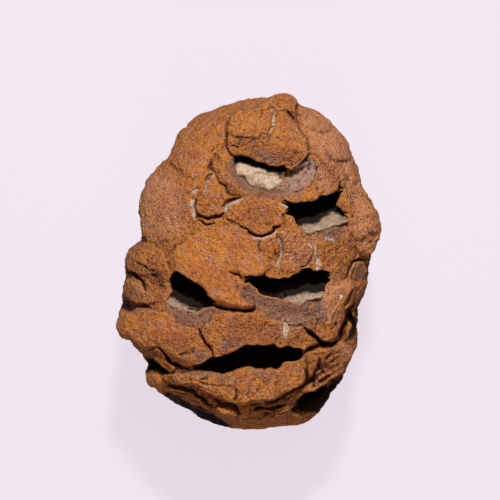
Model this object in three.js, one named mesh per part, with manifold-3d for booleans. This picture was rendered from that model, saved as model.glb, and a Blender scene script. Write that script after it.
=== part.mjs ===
// A fossil conifer cone, lying on its back.
//
// The cone is one mineralised piece: a slightly flattened egg of woody scales that have fused. The scales follow a
// spiral, each one turned by nearly the golden angle and a little higher than the one before it. Between many of
// them a lens-shaped socket runs in under the scale above, where the seeds once lay. Pale sediment still fills the
// floor of some sockets and one seam, and each filling is a piece of its own.
//
// Units are millimetres. +Y runs along the cone from its stalk end to its tip, +Z is up, and +X is to the right of
// someone who looks down on it. The origin is under the middle of the cone, on the surface that it lies on.

import * as THREE from "three";
import { mergeVertices } from "three/addons/utils/BufferGeometryUtils.js";
import Module from "manifold-3d";

// The whole cone, over its scales.
const WIDTH = 31.6;
const LENGTH = 40.2;
const THICKNESS = 27;

// How much of the underside is worn away to the flats that it rests on.
const WEAR = 0.55;

// The egg inside the scales. Bluntness 2 is a true ellipse, and more is squarer.
const EGG_HALF_LENGTH = 19.6;
const EGG_HALF_THICKNESS = 12.6;
const LENGTH_BLUNTNESS = 2.4;
const SECTION_BLUNTNESS = 2.25;

// Half width of the egg to either side of its axis, before its ends round it in: [height, half width].
const RIGHT_HALF_WIDTHS = [
  [-18, 14.4],
  [-15, 12.7],
  [-10, 13.4],
  [-5, 12.7],
  [0, 13.4],
  [5, 15.3],
  [10, 13.2],
  [15, 13.8],
  [18, 13.8],
];
const LEFT_HALF_WIDTHS = [
  [-18, 11.5],
  [-15, 14.8],
  [-12, 13.2],
  [-7.5, 15.6],
  [0, 14.2],
  [5, 12.2],
  [10, 12.7],
  [15, 10.8],
  [18, 8.6],
];

// The spiral of scales.
const SCALE_COUNT = 38;
const SCALE_TURN = THREE.MathUtils.degToRad(137.3);
const SCALE_RISE = 1.062;
const FIRST_SCALE_ANGLE = THREE.MathUtils.degToRad(-16.7);
const FIRST_SCALE_HEIGHT = -20.1;

// One scale: a low dome whose plan is an oval.
const SCALE_HALF_WIDTH = 6.6;
const SCALE_HALF_HEIGHT = 4.3;
const SCALE_BULGE = 1.1;
const SCALE_RADIUS = 13.4;

// How finely the egg is drawn.
const STEPS_ROUND = 56;
const STEPS_ALONG = 38;

// How much smaller a filling is, all round, than its socket.
const FILLING_INSET = 0.42;

// Sockets on the upper face, each cut straight down. x and y are the middle of the mouth, turn is the lean of its
// long side in degrees, and reach is how far it runs on under the scale above for each millimetre of depth. fill
// is how far below the mouth its sediment lies, where there is any.
const UPPER_SOCKETS = [
  { name: "upper_socket", x: 1.3, y: 10.7, halfWidth: 3.4, halfHeight: 1.7, depth: 3.2, turn: -8, reach: 0.2, fill: 1 },
  { name: "right_socket", x: 7.9, y: 5.7, halfWidth: 3.9, halfHeight: 1.9, depth: 4, turn: 14, reach: 0.3, fill: 1.9 },
  { name: "left_socket", x: -7.3, y: -4, halfWidth: 3.3, halfHeight: 1.7, depth: 4, turn: -33, reach: 0.3, fill: 1.9 },
  { name: "middle_socket", x: 4.9, y: -3.1, halfWidth: 4.6, halfHeight: 1.5, depth: 4, turn: -2, reach: 0.3, fill: 1.7 },
  { name: "seam", x: 4.5, y: -8.5, halfWidth: 0.9, halfHeight: 1.2, depth: 1.7, turn: 0, reach: 0, fill: 0.3 },
  { name: "lower_socket", x: 0.1, y: -11.8, halfWidth: 6.7, halfHeight: 1.3, depth: 5, turn: 3, reach: 0.3 },
  { name: "lower_left_socket", x: -10.6, y: -12.7, halfWidth: 1.9, halfHeight: 0.9, depth: 2.4, turn: -35, reach: 0.2 },
  { name: "stalk_end_socket", x: 8.2, y: -16, halfWidth: 3, halfHeight: 1.2, depth: 3.4, turn: 40, reach: 0.2 },
];

// Sockets on the flanks and the underside, each cut straight in at the scale of that number in the spiral.
const HIDDEN_SOCKETS = [
  { name: "low_left_flank", scale: 7, halfWidth: 3, halfHeight: 1.05, depth: 3.2, turn: -12, reach: 0.25 },
  { name: "right_flank", scale: 14, halfWidth: 3.4, halfHeight: 1.3, depth: 3.4, turn: 10, reach: 0.25, fill: 1.2 },
  { name: "middle_left_flank", scale: 15, halfWidth: 2.6, halfHeight: 1, depth: 3, turn: -6, reach: 0.25 },
  { name: "high_right_flank", scale: 22, halfWidth: 2.8, halfHeight: 1.1, depth: 3.2, turn: 8, reach: 0.25 },
  { name: "left_flank", scale: 23, halfWidth: 3.4, halfHeight: 1.3, depth: 3.4, turn: -10, reach: 0.25, fill: 1.2 },
  { name: "high_left_underside", scale: 28, halfWidth: 2.9, halfHeight: 1.05, depth: 3, turn: 5, reach: 0.25 },
  { name: "underside", scale: 30, halfWidth: 3.4, halfHeight: 1.3, depth: 3.2, turn: -5, reach: 0.25, fill: 1.2 },
  { name: "tip_underside", scale: 33, halfWidth: 2.4, halfHeight: 0.9, depth: 2.4, turn: 3, reach: 0.25 },
  { name: "stalk_end_underside", scale: 4, halfWidth: 2.9, halfHeight: 1, depth: 2.8, turn: 4, reach: 0.25 },
];

const SOCKET_STEPS_ROUND = 12;
const SOCKET_STEPS_DEEP = 8;

// A length that reaches past everything here.
const FAR = 100;

const wasm = await Module();
wasm.setup();

const ironstone = stoneMaterial(0xa85c28, 0.86);
const sediment = stoneMaterial(0xc9b08c, 0.97);

function stoneMaterial(color, roughness) {
  return new THREE.MeshStandardMaterial({ color, roughness, metalness: 0 });
}

// The value at a height, from a list of [height, value], eased between neighbours and level past the ends.
function valueAt(stations, height) {
  const [firstHeight, firstValue] = stations[0];
  if (height <= firstHeight) return firstValue;
  const next = stations.findIndex(([stationHeight]) => stationHeight >= height);
  if (next < 0) return stations.at(-1)[1];
  const [lowHeight, low] = stations[next - 1];
  const [highHeight, high] = stations[next];
  return THREE.MathUtils.lerp(low, high, THREE.MathUtils.smoothstep(height, lowHeight, highHeight));
}

// A sine or cosine, squared off so that it draws a blunter oval than a circle.
function blunt(value, bluntness) {
  return Math.sign(value) * Math.abs(value) ** (2 / bluntness);
}

function scaleAngle(number) {
  return FIRST_SCALE_ANGLE + number * SCALE_TURN;
}

function scaleHeight(number) {
  return FIRST_SCALE_HEIGHT + number * SCALE_RISE;
}

// How far the scales stand out from the egg. angle goes round the axis from +Z towards +X, and girth is the share
// of its full girth that the egg has at this height.
function bulgeAt(angle, height, girth) {
  let bulge = 0;
  for (let number = 0; number < SCALE_COUNT; number++) {
    const turn = angle - scaleAngle(number);
    const across = (Math.atan2(Math.sin(turn), Math.cos(turn)) * SCALE_RADIUS * girth) / SCALE_HALF_WIDTH;
    const along = (height - scaleHeight(number)) / SCALE_HALF_HEIGHT;
    bulge = Math.max(bulge, SCALE_BULGE * (1 - across * across - along * along));
  }
  return bulge;
}

// Where a point of a unit ball goes on the cone's skin.
function skinPoint(ballPoint) {
  const latitude = Math.asin(THREE.MathUtils.clamp(ballPoint.y, -1, 1));
  const angle = Math.atan2(ballPoint.x, ballPoint.z);
  const height = EGG_HALF_LENGTH * blunt(Math.sin(latitude), LENGTH_BLUNTNESS);
  const girth = blunt(Math.cos(latitude), LENGTH_BLUNTNESS);
  const halfWidth = valueAt(ballPoint.x < 0 ? LEFT_HALF_WIDTHS : RIGHT_HALF_WIDTHS, height);
  const point = new THREE.Vector3(
    halfWidth * girth * blunt(Math.sin(angle), SECTION_BLUNTNESS),
    height,
    EGG_HALF_THICKNESS * girth * blunt(Math.cos(angle), SECTION_BLUNTNESS),
  );
  const outward = new THREE.Vector3(
    point.x / halfWidth ** 2,
    point.y / EGG_HALF_LENGTH ** 2,
    point.z / EGG_HALF_THICKNESS ** 2,
  );
  return point.addScaledVector(outward.normalize(), bulgeAt(angle, height, girth));
}

// The egg with its scales, sized so that it is THICKNESS high once it is worn.
function skinGeometry() {
  const geometry = new THREE.SphereGeometry(1, STEPS_ROUND, STEPS_ALONG);
  const position = geometry.getAttribute("position");
  const ballPoint = new THREE.Vector3();
  for (let i = 0; i < position.count; i++) {
    ballPoint.fromBufferAttribute(position, i);
    position.setXYZ(i, ...skinPoint(ballPoint));
  }
  geometry.center();
  const size = geometry.boundingBox.getSize(new THREE.Vector3());
  const fullHeight = THICKNESS + WEAR;
  geometry.scale(WIDTH / size.x, LENGTH / size.y, fullHeight / size.z);
  geometry.translate(0, 0, fullHeight / 2 - WEAR);
  return geometry;
}

// The point where a line, coming in along a direction towards a target, first meets the skin.
function meetSkin(skin, target, direction) {
  const start = target.clone().addScaledVector(direction, -FAR);
  const [hit] = new THREE.Raycaster(start, direction).intersectObject(skin);
  return hit.point;
}

// Where an upper socket is cut: a frame at the middle of its mouth, with +Z out of the cone.
function upperMouth(socket, skin) {
  const middle = meetSkin(skin, new THREE.Vector3(socket.x, socket.y, 0), new THREE.Vector3(0, 0, -1));
  return new THREE.Matrix4().makeRotationZ(THREE.MathUtils.degToRad(socket.turn)).setPosition(middle);
}

// The same for a hidden socket, which faces straight out from the cone's axis.
function hiddenMouth(socket, skin) {
  const angle = scaleAngle(socket.scale);
  const onAxis = new THREE.Vector3(0, scaleHeight(socket.scale), THICKNESS / 2);
  const middle = meetSkin(skin, onAxis, new THREE.Vector3(-Math.sin(angle), 0, -Math.cos(angle)));
  const lean = new THREE.Matrix4().makeRotationZ(THREE.MathUtils.degToRad(socket.turn));
  return new THREE.Matrix4().makeRotationY(angle).multiply(lean).setPosition(middle);
}

// The lens of a socket. inset draws it smaller all round.
function lensGeometry(socket, mouth, inset) {
  const geometry = new THREE.SphereGeometry(1, SOCKET_STEPS_ROUND, SOCKET_STEPS_DEEP);
  geometry.scale(socket.halfWidth - inset, socket.halfHeight - inset, socket.depth - inset);
  const lean = new THREE.Matrix4().makeShear(0, 0, 0, 0, 0, -socket.reach);
  return geometry.applyMatrix4(lean).applyMatrix4(mouth);
}

// Everything that is further out than a filling's surface.
function openGeometry(socket, mouth) {
  const geometry = new THREE.BoxGeometry(FAR, FAR, FAR);
  geometry.translate(0, 0, FAR / 2 - socket.fill);
  return geometry.applyMatrix4(mouth);
}

// Everything above the surface that the cone lies on.
function aboveGroundGeometry() {
  return new THREE.BoxGeometry(FAR, FAR, FAR).translate(0, 0, FAR / 2);
}

function solidOf(geometry) {
  const bare = geometry.clone();
  bare.deleteAttribute("normal");
  bare.deleteAttribute("uv");
  const merged = mergeVertices(bare);
  const vertProperties = merged.getAttribute("position").array;
  const triVerts = new Uint32Array(merged.index.array);
  return new wasm.Manifold(new wasm.Mesh({ numProp: 3, vertProperties, triVerts }));
}

function meshOf(name, solid, material) {
  const { vertProperties, triVerts } = solid.getMesh();
  const geometry = new THREE.BufferGeometry();
  geometry.setAttribute("position", new THREE.BufferAttribute(vertProperties, 3));
  geometry.setIndex(new THREE.BufferAttribute(triVerts, 1));
  geometry.computeVertexNormals();
  const mesh = new THREE.Mesh(geometry, material);
  mesh.name = name;
  return mesh;
}

const skin = new THREE.Mesh(skinGeometry(), ironstone);
const pockets = [
  ...UPPER_SOCKETS.map((socket) => ({ socket, mouth: upperMouth(socket, skin) })),
  ...HIDDEN_SOCKETS.map((socket) => ({ socket, mouth: hiddenMouth(socket, skin) })),
];

let cone = solidOf(skin.geometry).intersect(solidOf(aboveGroundGeometry()));
for (const { socket, mouth } of pockets) {
  cone = cone.subtract(solidOf(lensGeometry(socket, mouth, 0)));
}

const fossil = new THREE.Group();
fossil.add(meshOf("fossil_cone", cone, ironstone));
for (const { socket, mouth } of pockets.filter((pocket) => pocket.socket.fill)) {
  const lens = solidOf(lensGeometry(socket, mouth, FILLING_INSET));
  const filling = lens.subtract(solidOf(openGeometry(socket, mouth)));
  fossil.add(meshOf(`sediment_${socket.name}`, filling, sediment));
}

export default fossil;
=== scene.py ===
"""A small fossil conifer cone of rusty ironstone, lying on its back on a pale floor.

The cone is carved as a block of distances: a blunt egg, the relief of its face, the spiral of scales round
its flanks and back, and the sockets that run in under the scales. Pale sediment lies in some sockets, with
loose grains. All lengths are in millimetres until a mesh is written out, which is in metres. Outlines and
lines on the face are drawn as an eye straight above the cone sees them.
"""

import logging
import math
from dataclasses import dataclass, field
from enum import Enum
from typing import Any, Sequence

import bpy
import numpy as np
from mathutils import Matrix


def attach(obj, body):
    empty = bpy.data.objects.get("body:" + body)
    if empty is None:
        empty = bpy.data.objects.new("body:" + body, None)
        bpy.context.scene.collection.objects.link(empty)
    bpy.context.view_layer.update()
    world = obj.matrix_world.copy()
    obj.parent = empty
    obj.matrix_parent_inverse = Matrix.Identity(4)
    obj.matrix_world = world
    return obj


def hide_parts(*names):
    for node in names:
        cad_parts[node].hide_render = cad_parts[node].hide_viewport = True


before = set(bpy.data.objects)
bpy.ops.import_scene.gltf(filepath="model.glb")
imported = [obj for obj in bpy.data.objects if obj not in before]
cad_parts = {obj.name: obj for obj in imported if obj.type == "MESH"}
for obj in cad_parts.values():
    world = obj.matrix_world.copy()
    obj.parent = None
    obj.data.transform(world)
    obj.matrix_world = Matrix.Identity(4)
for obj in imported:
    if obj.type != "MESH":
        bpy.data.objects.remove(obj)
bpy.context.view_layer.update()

import openvdb
from mathutils import Vector

LOG = logging.getLogger("fossil_cone")
METRES = 0.001
BODY = "root"
EYE_ABOVE = (0.204, 1.368)
EYE_HEIGHT = 320.0
MIDDLE_HEIGHT = 13.0
BLOCK_STEP = 0.13
# Spread of unscaled spline noise, through a block and over a plane.
BLOCK_SPREAD = 0.331
PLANE_SPREAD = 0.479
# The search for the egg's surface starts over this length and halves it so many times.
FURTHEST_REACH = 25.0
HALVINGS = 40

Array = np.ndarray
Point = tuple[float, float]
Triple = tuple[float, float, float]
Outline = tuple[Point, ...]
Window = tuple[slice, slice]
Part = tuple[slice, slice, slice]
Values = dict[Any, Any]


# Sampling and noise


def ease(low: float, high: float, value: Array) -> Array:
    """Step smoothly from 0 at low to 1 at high.

    Args:
        low: Value where the step starts.
        high: Value where it ends, which may be the smaller one.
        value: Values to step over.

    Returns:
        The eased values.
    """
    share = np.clip((value - low) / (high - low), 0.0, 1.0)
    return share * share * (3.0 - 2.0 * share)


def soft_max(first: Array, second: Array, blend: float) -> Array:
    """Take the larger of two fields, with the crease between them rounded over the length blend."""
    share = np.clip(0.5 + 0.5 * (first - second) / blend, 0.0, 1.0)
    return second + (first - second) * share + blend * share * (1.0 - share)


def spline_weights(samples: Array, cell: float) -> Array:
    """Weigh random knots for samples along one axis with a cubic B-spline.

    Args:
        samples: Positions along the axis.
        cell: Spacing of the knots.

    Returns:
        A matrix with a row for each sample and a column for each knot.
    """
    place = (samples - samples.min()) / cell + 1.0
    knot = np.floor(place).astype(int)
    t = (place - knot).astype(np.float32)
    weights = np.zeros((len(samples), knot.max() + 3), dtype=np.float32)
    rows = np.arange(len(samples))
    parts = ((1 - t) ** 3, 3 * t**3 - 6 * t**2 + 4, -3 * t**3 + 3 * t**2 + 3 * t + 1, t**3)
    for offset, part in zip((-1, 0, 1, 2), parts):
        weights[rows, knot + offset] = part / 6.0
    return weights


def block_noise(x: Array, y: Array, z: Array, cell: float, seed: int) -> Array:
    """Make smooth random values of unit spread through a block.

    Args:
        x: Sample positions along X.
        y: Sample positions along Y.
        z: Sample positions along Z.
        cell: Size of the noise's lumps.
        seed: Seed of the random values.

    Returns:
        The values, indexed by X, Y and Z.
    """
    along_x, along_y, along_z = (spline_weights(axis, cell) for axis in (x, y, z))
    shape = along_x.shape[1], along_y.shape[1], along_z.shape[1]
    knots = np.random.default_rng(seed).standard_normal(shape).astype(np.float32)
    partial = np.tensordot(along_x, knots, axes=(1, 0)) @ along_z.T
    return np.matmul(along_y, partial) / BLOCK_SPREAD


def plane_noise(x: Array, y: Array, cell: float, seed: int) -> Array:
    """Make smooth random values of unit spread over a plane.

    Args:
        x: Sample positions along X.
        y: Sample positions along Y.
        cell: Size of the noise's lumps.
        seed: Seed of the random values.

    Returns:
        The values, indexed by X and Y.
    """
    along_x, along_y = spline_weights(x, cell), spline_weights(y, cell)
    shape = along_x.shape[1], along_y.shape[1]
    knots = np.random.default_rng(seed).standard_normal(shape).astype(np.float32)
    return along_x @ knots @ along_y.T / PLANE_SPREAD


def reach_along(points: Sequence[Array], start: Array, way: Array) -> Array:
    """Measure how far samples, given as X, Y and Z, lie from a start along a way of unit length."""
    x, y, z = points
    return (x - start[0]) * way[0] + (y - start[1]) * way[1] + (z - start[2]) * way[2]


def rounded(outline: Outline, times: int = 2) -> Array:
    """Round a closed outline by cutting its corners.

    Args:
        outline: The corners in order.
        times: How often each corner is cut.

    Returns:
        The rounded outline's points.
    """
    points = np.array(outline, dtype=np.float32)
    for _ in range(times):
        following = np.roll(points, -1, axis=0)
        pair = np.stack((points * 0.75 + following * 0.25, points * 0.25 + following * 0.75), axis=1)
        points = pair.reshape(-1, 2)
    return points


# The plan of the cone's face, on which plates, cracks and sockets are drawn


class Plan:
    """A sheet of samples over the cone's face, looked at from above."""

    def __init__(self, x: Array, y: Array, egg: "Egg") -> None:
        """Lay the sheet out, with its grid wavering a little so that nothing drawn on it is quite straight.

        The nearer the surface is to the eye above the cone, the more the grid spreads.

        Args:
            x: Sample positions along X.
            y: Sample positions along Y.
            egg: The egg that the sheet lies on.
        """
        self.x, self.y = x, y
        spread = EYE_HEIGHT / (EYE_HEIGHT + MIDDLE_HEIGHT - egg.top(x, y))
        waver_x = 0.13 * plane_noise(x, y, 1.5, 11) + 0.07 * plane_noise(x, y, 0.45, 12)
        waver_y = 0.13 * plane_noise(x, y, 1.5, 13) + 0.07 * plane_noise(x, y, 0.45, 14)
        self.across = EYE_ABOVE[0] + (x[:, None] - EYE_ABOVE[0]) * spread + waver_x
        self.along = EYE_ABOVE[1] + (y[None, :] - EYE_ABOVE[1]) * spread + waver_y
        self.height = np.zeros_like(self.across)

    def window(self, points: Array, margin: float) -> Window:
        """Find the part of the sheet around some points.

        Args:
            points: The points.
            margin: Room left round them.

        Returns:
            The slices along X and Y.
        """
        low, high = points.min(axis=0) - margin, points.max(axis=0) + margin
        first = np.searchsorted(self.x, low[0]), np.searchsorted(self.y, low[1])
        last = np.searchsorted(self.x, high[0]), np.searchsorted(self.y, high[1])
        return slice(first[0], last[0]), slice(first[1], last[1])

    def line_distance(self, points: Array, closed: bool, margin: float) -> tuple[Window, Array, Array]:
        """Measure how far each sample is from a line through points.

        Args:
            points: The line's points.
            closed: Whether the last point joins the first.
            margin: How far from the line it is measured.

        Returns:
            The window, the distances in it, and whether each sample is inside the closed line.
        """
        view = self.window(points, margin)
        px, py = self.across[view], self.along[view]
        nearest = np.full(px.shape, margin * margin, dtype=np.float32)
        inside = np.zeros(px.shape, dtype=bool)
        ends = np.roll(points, -1, axis=0) if closed else points[1:]
        for (ax, ay), (bx, by) in zip(points, ends):
            ex, ey = bx - ax, by - ay
            share = np.clip(((px - ax) * ex + (py - ay) * ey) / (ex * ex + ey * ey + 1e-9), 0.0, 1.0)
            nearest = np.minimum(nearest, (px - ax - share * ex) ** 2 + (py - ay - share * ey) ** 2)
            if closed and ay != by:
                inside ^= ((ay > py) != (by > py)) & (px < ax + (py - ay) * ex / ey)
        return view, np.sqrt(nearest), inside

    def depth_inside(self, outline: Outline, margin: float) -> tuple[Window, Array]:
        """Measure how far inside a rounded outline samples lie.

        Args:
            outline: The outline.
            margin: How far outside it is measured.

        Returns:
            The window, and the depths in it, negative outside the outline.
        """
        view, distance, inside = self.line_distance(rounded(outline), True, margin)
        return view, np.where(inside, distance, -distance)

    def signed(self, outline: Outline, margin: float = 4.0) -> Array:
        """Measure the distance to an outline, negative inside, over the whole sheet."""
        sheet = np.full(self.height.shape, margin, dtype=np.float32)
        view, depth = self.depth_inside(outline, margin)
        sheet[view] = -depth
        return sheet

    def plate(self, outline: Outline, lift: float, bevel: float, crown: float = 0.0) -> None:
        """Raise a plate.

        Args:
            outline: The plate's outline.
            lift: How high it stands.
            bevel: Width of its sloping edge.
            crown: How much further its middle swells.
        """
        view, depth = self.depth_inside(outline, 1.0)
        swell = crown * (1.0 - np.exp(-np.maximum(depth, 0.0) / 1.6))
        self.height[view] += lift * ease(-0.25 * bevel, 0.4 * bevel, depth) + swell

    def dish(self, outline: Outline, sunk: float, slope: float) -> None:
        """Sink a dish whose wall slopes in over the length slope."""
        view, depth = self.depth_inside(outline, 1.0)
        self.height[view] -= sunk * ease(0.0, slope, depth)

    def tilt(self, outline: Outline, rise: Point, still: Point, soft: float) -> None:
        """Tilt the part inside an outline.

        Args:
            outline: The part's outline.
            rise: How much it rises for each millimetre towards +X and +Y.
            still: The point that stays as it is.
            soft: How far inside the outline the tilt is full.
        """
        view, depth = self.depth_inside(outline, soft + 0.5)
        lift = rise[0] * (self.across[view] - still[0]) + rise[1] * (self.along[view] - still[1])
        self.height[view] += lift * ease(-0.1, soft, depth)

    def crack(self, line: Outline, width: float, depth: float) -> None:
        """Cut a crack that tapers at its ends.

        Args:
            line: The line that it follows.
            width: Its width at the middle.
            depth: Its depth at the middle.
        """
        points = np.array(line, dtype=np.float32)
        view, distance, _ = self.line_distance(points, False, width * 2.0)
        tip = [np.hypot(self.across[view] - px, self.along[view] - py) for px, py in (points[0], points[-1])]
        taper = 0.35 + 0.65 * ease(0.0, 0.9, np.minimum(*tip))
        self.height[view] -= depth * taper * ease(1.25 * width, 0.35 * width, distance / (0.4 + 0.6 * taper))

    def ridge(self, line: Outline, width: float, height: float) -> None:
        """Raise a rounded ridge along a line."""
        points = np.array(line, dtype=np.float32)
        view, distance, _ = self.line_distance(points, False, width * 2.0)
        self.height[view] += height * np.exp(-((distance / (0.55 * width)) ** 2))

    def paint(self, sheet: Array, outline: Outline, edge: float, strength: float = 1.0) -> None:
        """Lay a coat over an outline on a sheet of coat strengths, fading over the length edge."""
        view, depth = self.depth_inside(outline, edge + 0.5)
        sheet[view] = np.maximum(sheet[view], strength * ease(edge * 0.5, -edge * 0.5, -depth))

    def stroke(self, sheet: Array, line: Outline, width: float, strength: float = 1.0) -> None:
        """Draw a line of some width on a sheet of coat strengths."""
        view, distance, _ = self.line_distance(np.array(line, dtype=np.float32), False, width * 2.0)
        sheet[view] = np.maximum(sheet[view], strength * ease(0.9 * width, 0.3 * width, distance))

    def sample(self, sheet: Array, x: Array, y: Array) -> Array:
        """Read a sheet at any places.

        Args:
            sheet: The sheet.
            x: Places along X.
            y: Places along Y.

        Returns:
            The values, taken evenly between samples.
        """
        step = self.x[1] - self.x[0]
        column = np.clip((x - self.x[0]) / step, 0, len(self.x) - 1.001)
        row = np.clip((y - self.y[0]) / step, 0, len(self.y) - 1.001)
        i, j = column.astype(int), row.astype(int)
        fx, fy = column - i, row - j
        low = sheet[i, j] * (1 - fx) + sheet[i + 1, j] * fx
        high = sheet[i, j + 1] * (1 - fx) + sheet[i + 1, j + 1] * fx
        return low * (1 - fy) + high * fy


# The egg inside the scales

RIGHT_SIDE: Outline = (
    (5.6, -20.2), (6.6, -19.6), (7.5, -19.1), (8.4, -18.4), (9.2, -17.5), (10.2, -16.4), (10.7, -15.3),
    (11.3, -14.2), (11.9, -12.9), (12.4, -11.5), (13.3, -10), (13.5, -8.8), (13.3, -7.3), (13.5, -5.6),
    (14.1, -4.1), (14.5, -2.75), (14.4, -1.1), (14.7, 0), (15, 1.9), (15.5, 3.3), (15.65, 5), (15.1, 6.3),
    (14.4, 7.7), (13.5, 9.4), (13.2, 10.75), (13.1, 12.3), (12.4, 13.8), (11.4, 15.2), (10.1, 16.2),
    (9.2, 17.1), (8, 18), (7.3, 18.45), (5.8, 18.95), (5, 19.5), (4.8, 20.1),
)
LEFT_SIDE: Outline = (
    (-3.4, -20.2), (-4.6, -19.4), (-6.3, -18.6), (-7.2, -17.8), (-8.9, -17), (-10.5, -16.1), (-11.2, -15.4),
    (-12, -14.1), (-12.4, -13.2), (-12.2, -12.2), (-13.1, -11), (-14.3, -9.9), (-14.8, -8.9), (-15.8, -7.3),
    (-15.6, -6.2), (-15.1, -4.9), (-15.1, -3.5), (-14.9, -1.7), (-15.1, 0), (-14.5, 1.5), (-13.1, 2.6),
    (-12.75, 4), (-13.2, 5.6), (-13.35, 7.7), (-12.9, 9.6), (-11.2, 11), (-9.9, 12.3), (-8.95, 14),
    (-8.3, 15.4), (-6.9, 16.6), (-5.4, 17.5), (-3.4, 18.4), (-0.8, 19.3), (0.8, 20.1),
)


@dataclass(frozen=True)
class Egg:
    """The blunt egg that carries the scales, with a section at each height along the cone.

    Attributes:
        half_length: Length from the middle to the tip.
        stalk_length: Length from the middle to the stalk end.
        middle_height: Height of its middle above the floor.
        face_half_thickness: Thickness of the half that faces up.
        back_half_thickness: Thickness of the half that it lies on.
        section_bluntness: Power that makes its section blunter than an ellipse, for which it is 2.
        length_bluntness: The same along its length.
        smoothing: Length over which the sides are smoothed before the lobes are put back.
        lobe_spread: Angle that the lobes of the sides spread over, up and down the flanks.
        station_end: How far the stations run each way.
        station_step: Spacing of the stations.
    """

    half_length: float = 20.1
    stalk_length: float = 20.55
    middle_height: float = 13.2
    face_half_thickness: float = 12.7
    back_half_thickness: float = 12.75
    section_bluntness: float = 2.25
    length_bluntness: float = 2.4
    smoothing: float = 1.5
    lobe_spread: float = math.radians(30)
    station_end: float = 21.0
    station_step: float = 0.1

    def stations(self) -> Array:
        """List the heights at which the section is worked out."""
        return np.arange(-self.station_end, self.station_end + 0.01, self.station_step, dtype=np.float32)

    def share(self, height: Array) -> Array:
        """Say what share of the way from the middle to the tip or the stalk end each height is."""
        return np.abs(height) / np.where(height < 0.0, self.stalk_length, self.half_length)

    def girth(self, height: Array) -> Array:
        """Say what share of the full girth the egg has at each height."""
        share = np.clip(self.share(height), 0.0, 0.985)
        return (1.0 - share**self.length_bluntness) ** (1.0 / self.length_bluntness)

    def side(self, outline: Outline) -> tuple[Array, Array]:
        """Follow one side of the outline.

        Args:
            outline: Points of that side, from the stalk end to the tip.

        Returns:
            The side's position at each station, smoothed, and what the smoothing took off.
        """
        points = np.array(outline)
        sharp = np.interp(self.stations(), points[:, 1], points[:, 0])
        count = round(3.0 * self.smoothing / self.station_step)
        reach = np.arange(-count, count + 1) * self.station_step
        kernel = np.exp(-0.5 * (reach / self.smoothing) ** 2)
        padded = np.pad(sharp, count, mode="edge")
        smooth = np.convolve(padded, kernel / kernel.sum(), mode="valid")
        return smooth, sharp - smooth

    def section(self) -> tuple[Array, Array, Array, Array]:
        """Work out the section at each station.

        Returns:
            The position of the middle line, the half width, and how far the lobes of the right and of the
            left side stand out.
        """
        right, right_lobes = self.side(RIGHT_SIDE)
        left, left_lobes = self.side(LEFT_SIDE)
        half_width = (right - left) / 2.0 / self.girth(self.stations())
        return (right + left) / 2.0, half_width, right_lobes, -left_lobes

    def measure(self, x: Array, y: Array, z: Array) -> Array:
        """Measure how much larger than the egg a concentric egg through each point is.

        Args:
            x: Positions along X.
            y: Positions along Y.
            z: Positions along Z.

        Returns:
            The ratio of the sizes less 1, which is negative inside the egg.
        """
        middle, half_width, _, _ = self.section()
        heights = self.stations()
        centre = np.interp(y, heights, middle).astype(np.float32)
        half = np.interp(y, heights, half_width).astype(np.float32)
        upward = z - self.middle_height
        thickness = np.where(upward > 0.0, self.face_half_thickness, self.back_half_thickness)
        blunt, long = self.section_bluntness, self.length_bluntness
        section = np.abs((x - centre) / half) ** blunt + np.abs(upward / thickness) ** blunt
        return (section ** (long / blunt) + self.share(y) ** long) ** (1.0 / long) - 1.0

    def top(self, x: Array, y: Array) -> Array:
        """Find the height of the face over a sheet of places.

        Args:
            x: Positions of the sheet's rows along X.
            y: Positions of its columns along Y.

        Returns:
            The heights, with the egg's middle height outside the egg.
        """
        middle, half_width, _, _ = self.section()
        heights = self.stations()
        centre, half = (np.interp(y, heights, sheet)[None, :] for sheet in (middle, half_width))
        blunt, long = self.section_bluntness, self.length_bluntness
        room = np.maximum(1.0 - self.share(y[None, :]) ** long, 0.0) ** (blunt / long)
        up = np.maximum(room - np.abs((x[:, None] - centre) / half) ** blunt, 0.0) ** (1.0 / blunt)
        return (self.middle_height + self.face_half_thickness * up).astype(np.float32)

    def surface_point(self, start: Sequence[float], way: Sequence[float]) -> tuple[Array, Array]:
        """Go from a point inside the egg to its surface.

        Args:
            start: The point inside.
            way: The direction to go in, of unit length.

        Returns:
            The point on the surface, and the way straight out of it.
        """
        start, way = np.array(start), np.array(way)
        near, far = 0.0, FURTHEST_REACH
        for _ in range(HALVINGS):
            reach = (near + far) / 2.0
            inside = self.measure(*np.atleast_2d(start + way * reach).T)[0] < 0.0
            near, far = (reach, far) if inside else (near, reach)
        point = start + way * near
        nudges = np.eye(3) * 0.05
        ahead, behind = self.measure(*(point + nudges).T), self.measure(*(point - nudges).T)
        normal = ahead - behind
        return point, normal / np.linalg.norm(normal)

    def point_round(self, angle: float, height: float) -> tuple[Array, Array]:
        """Find the surface at an angle from straight up and a height along the cone."""
        middle, _, _, _ = self.section()
        start = (np.interp(height, self.stations(), middle), height, self.middle_height)
        return self.surface_point(start, (math.sin(angle), 0.0, math.cos(angle)))

    def point_above(self, x: float, y: float) -> tuple[Array, Array]:
        """Find the surface of the face above a place on the plan."""
        return self.surface_point((x, y, self.middle_height), (0.0, 0.0, 1.0))


# Sockets


@dataclass(frozen=True)
class Pocket:
    """The hollow of a socket, over one part of the block.

    Attributes:
        part: The samples that it covers.
        wall: Distance to its walls, negative inside.
        depth: Depth of each sample below the egg's surface at the socket.
        floor: Depth of its rock floor.
        rounding: How softly its edge is rounded.
    """

    part: Part
    wall: Array
    depth: Array
    floor: Array
    rounding: float

    def hollow(self) -> Array:
        """Measure the distance to the hollow's surface, negative inside it."""
        return soft_max(self.wall, self.depth - self.floor, 0.3)


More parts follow.
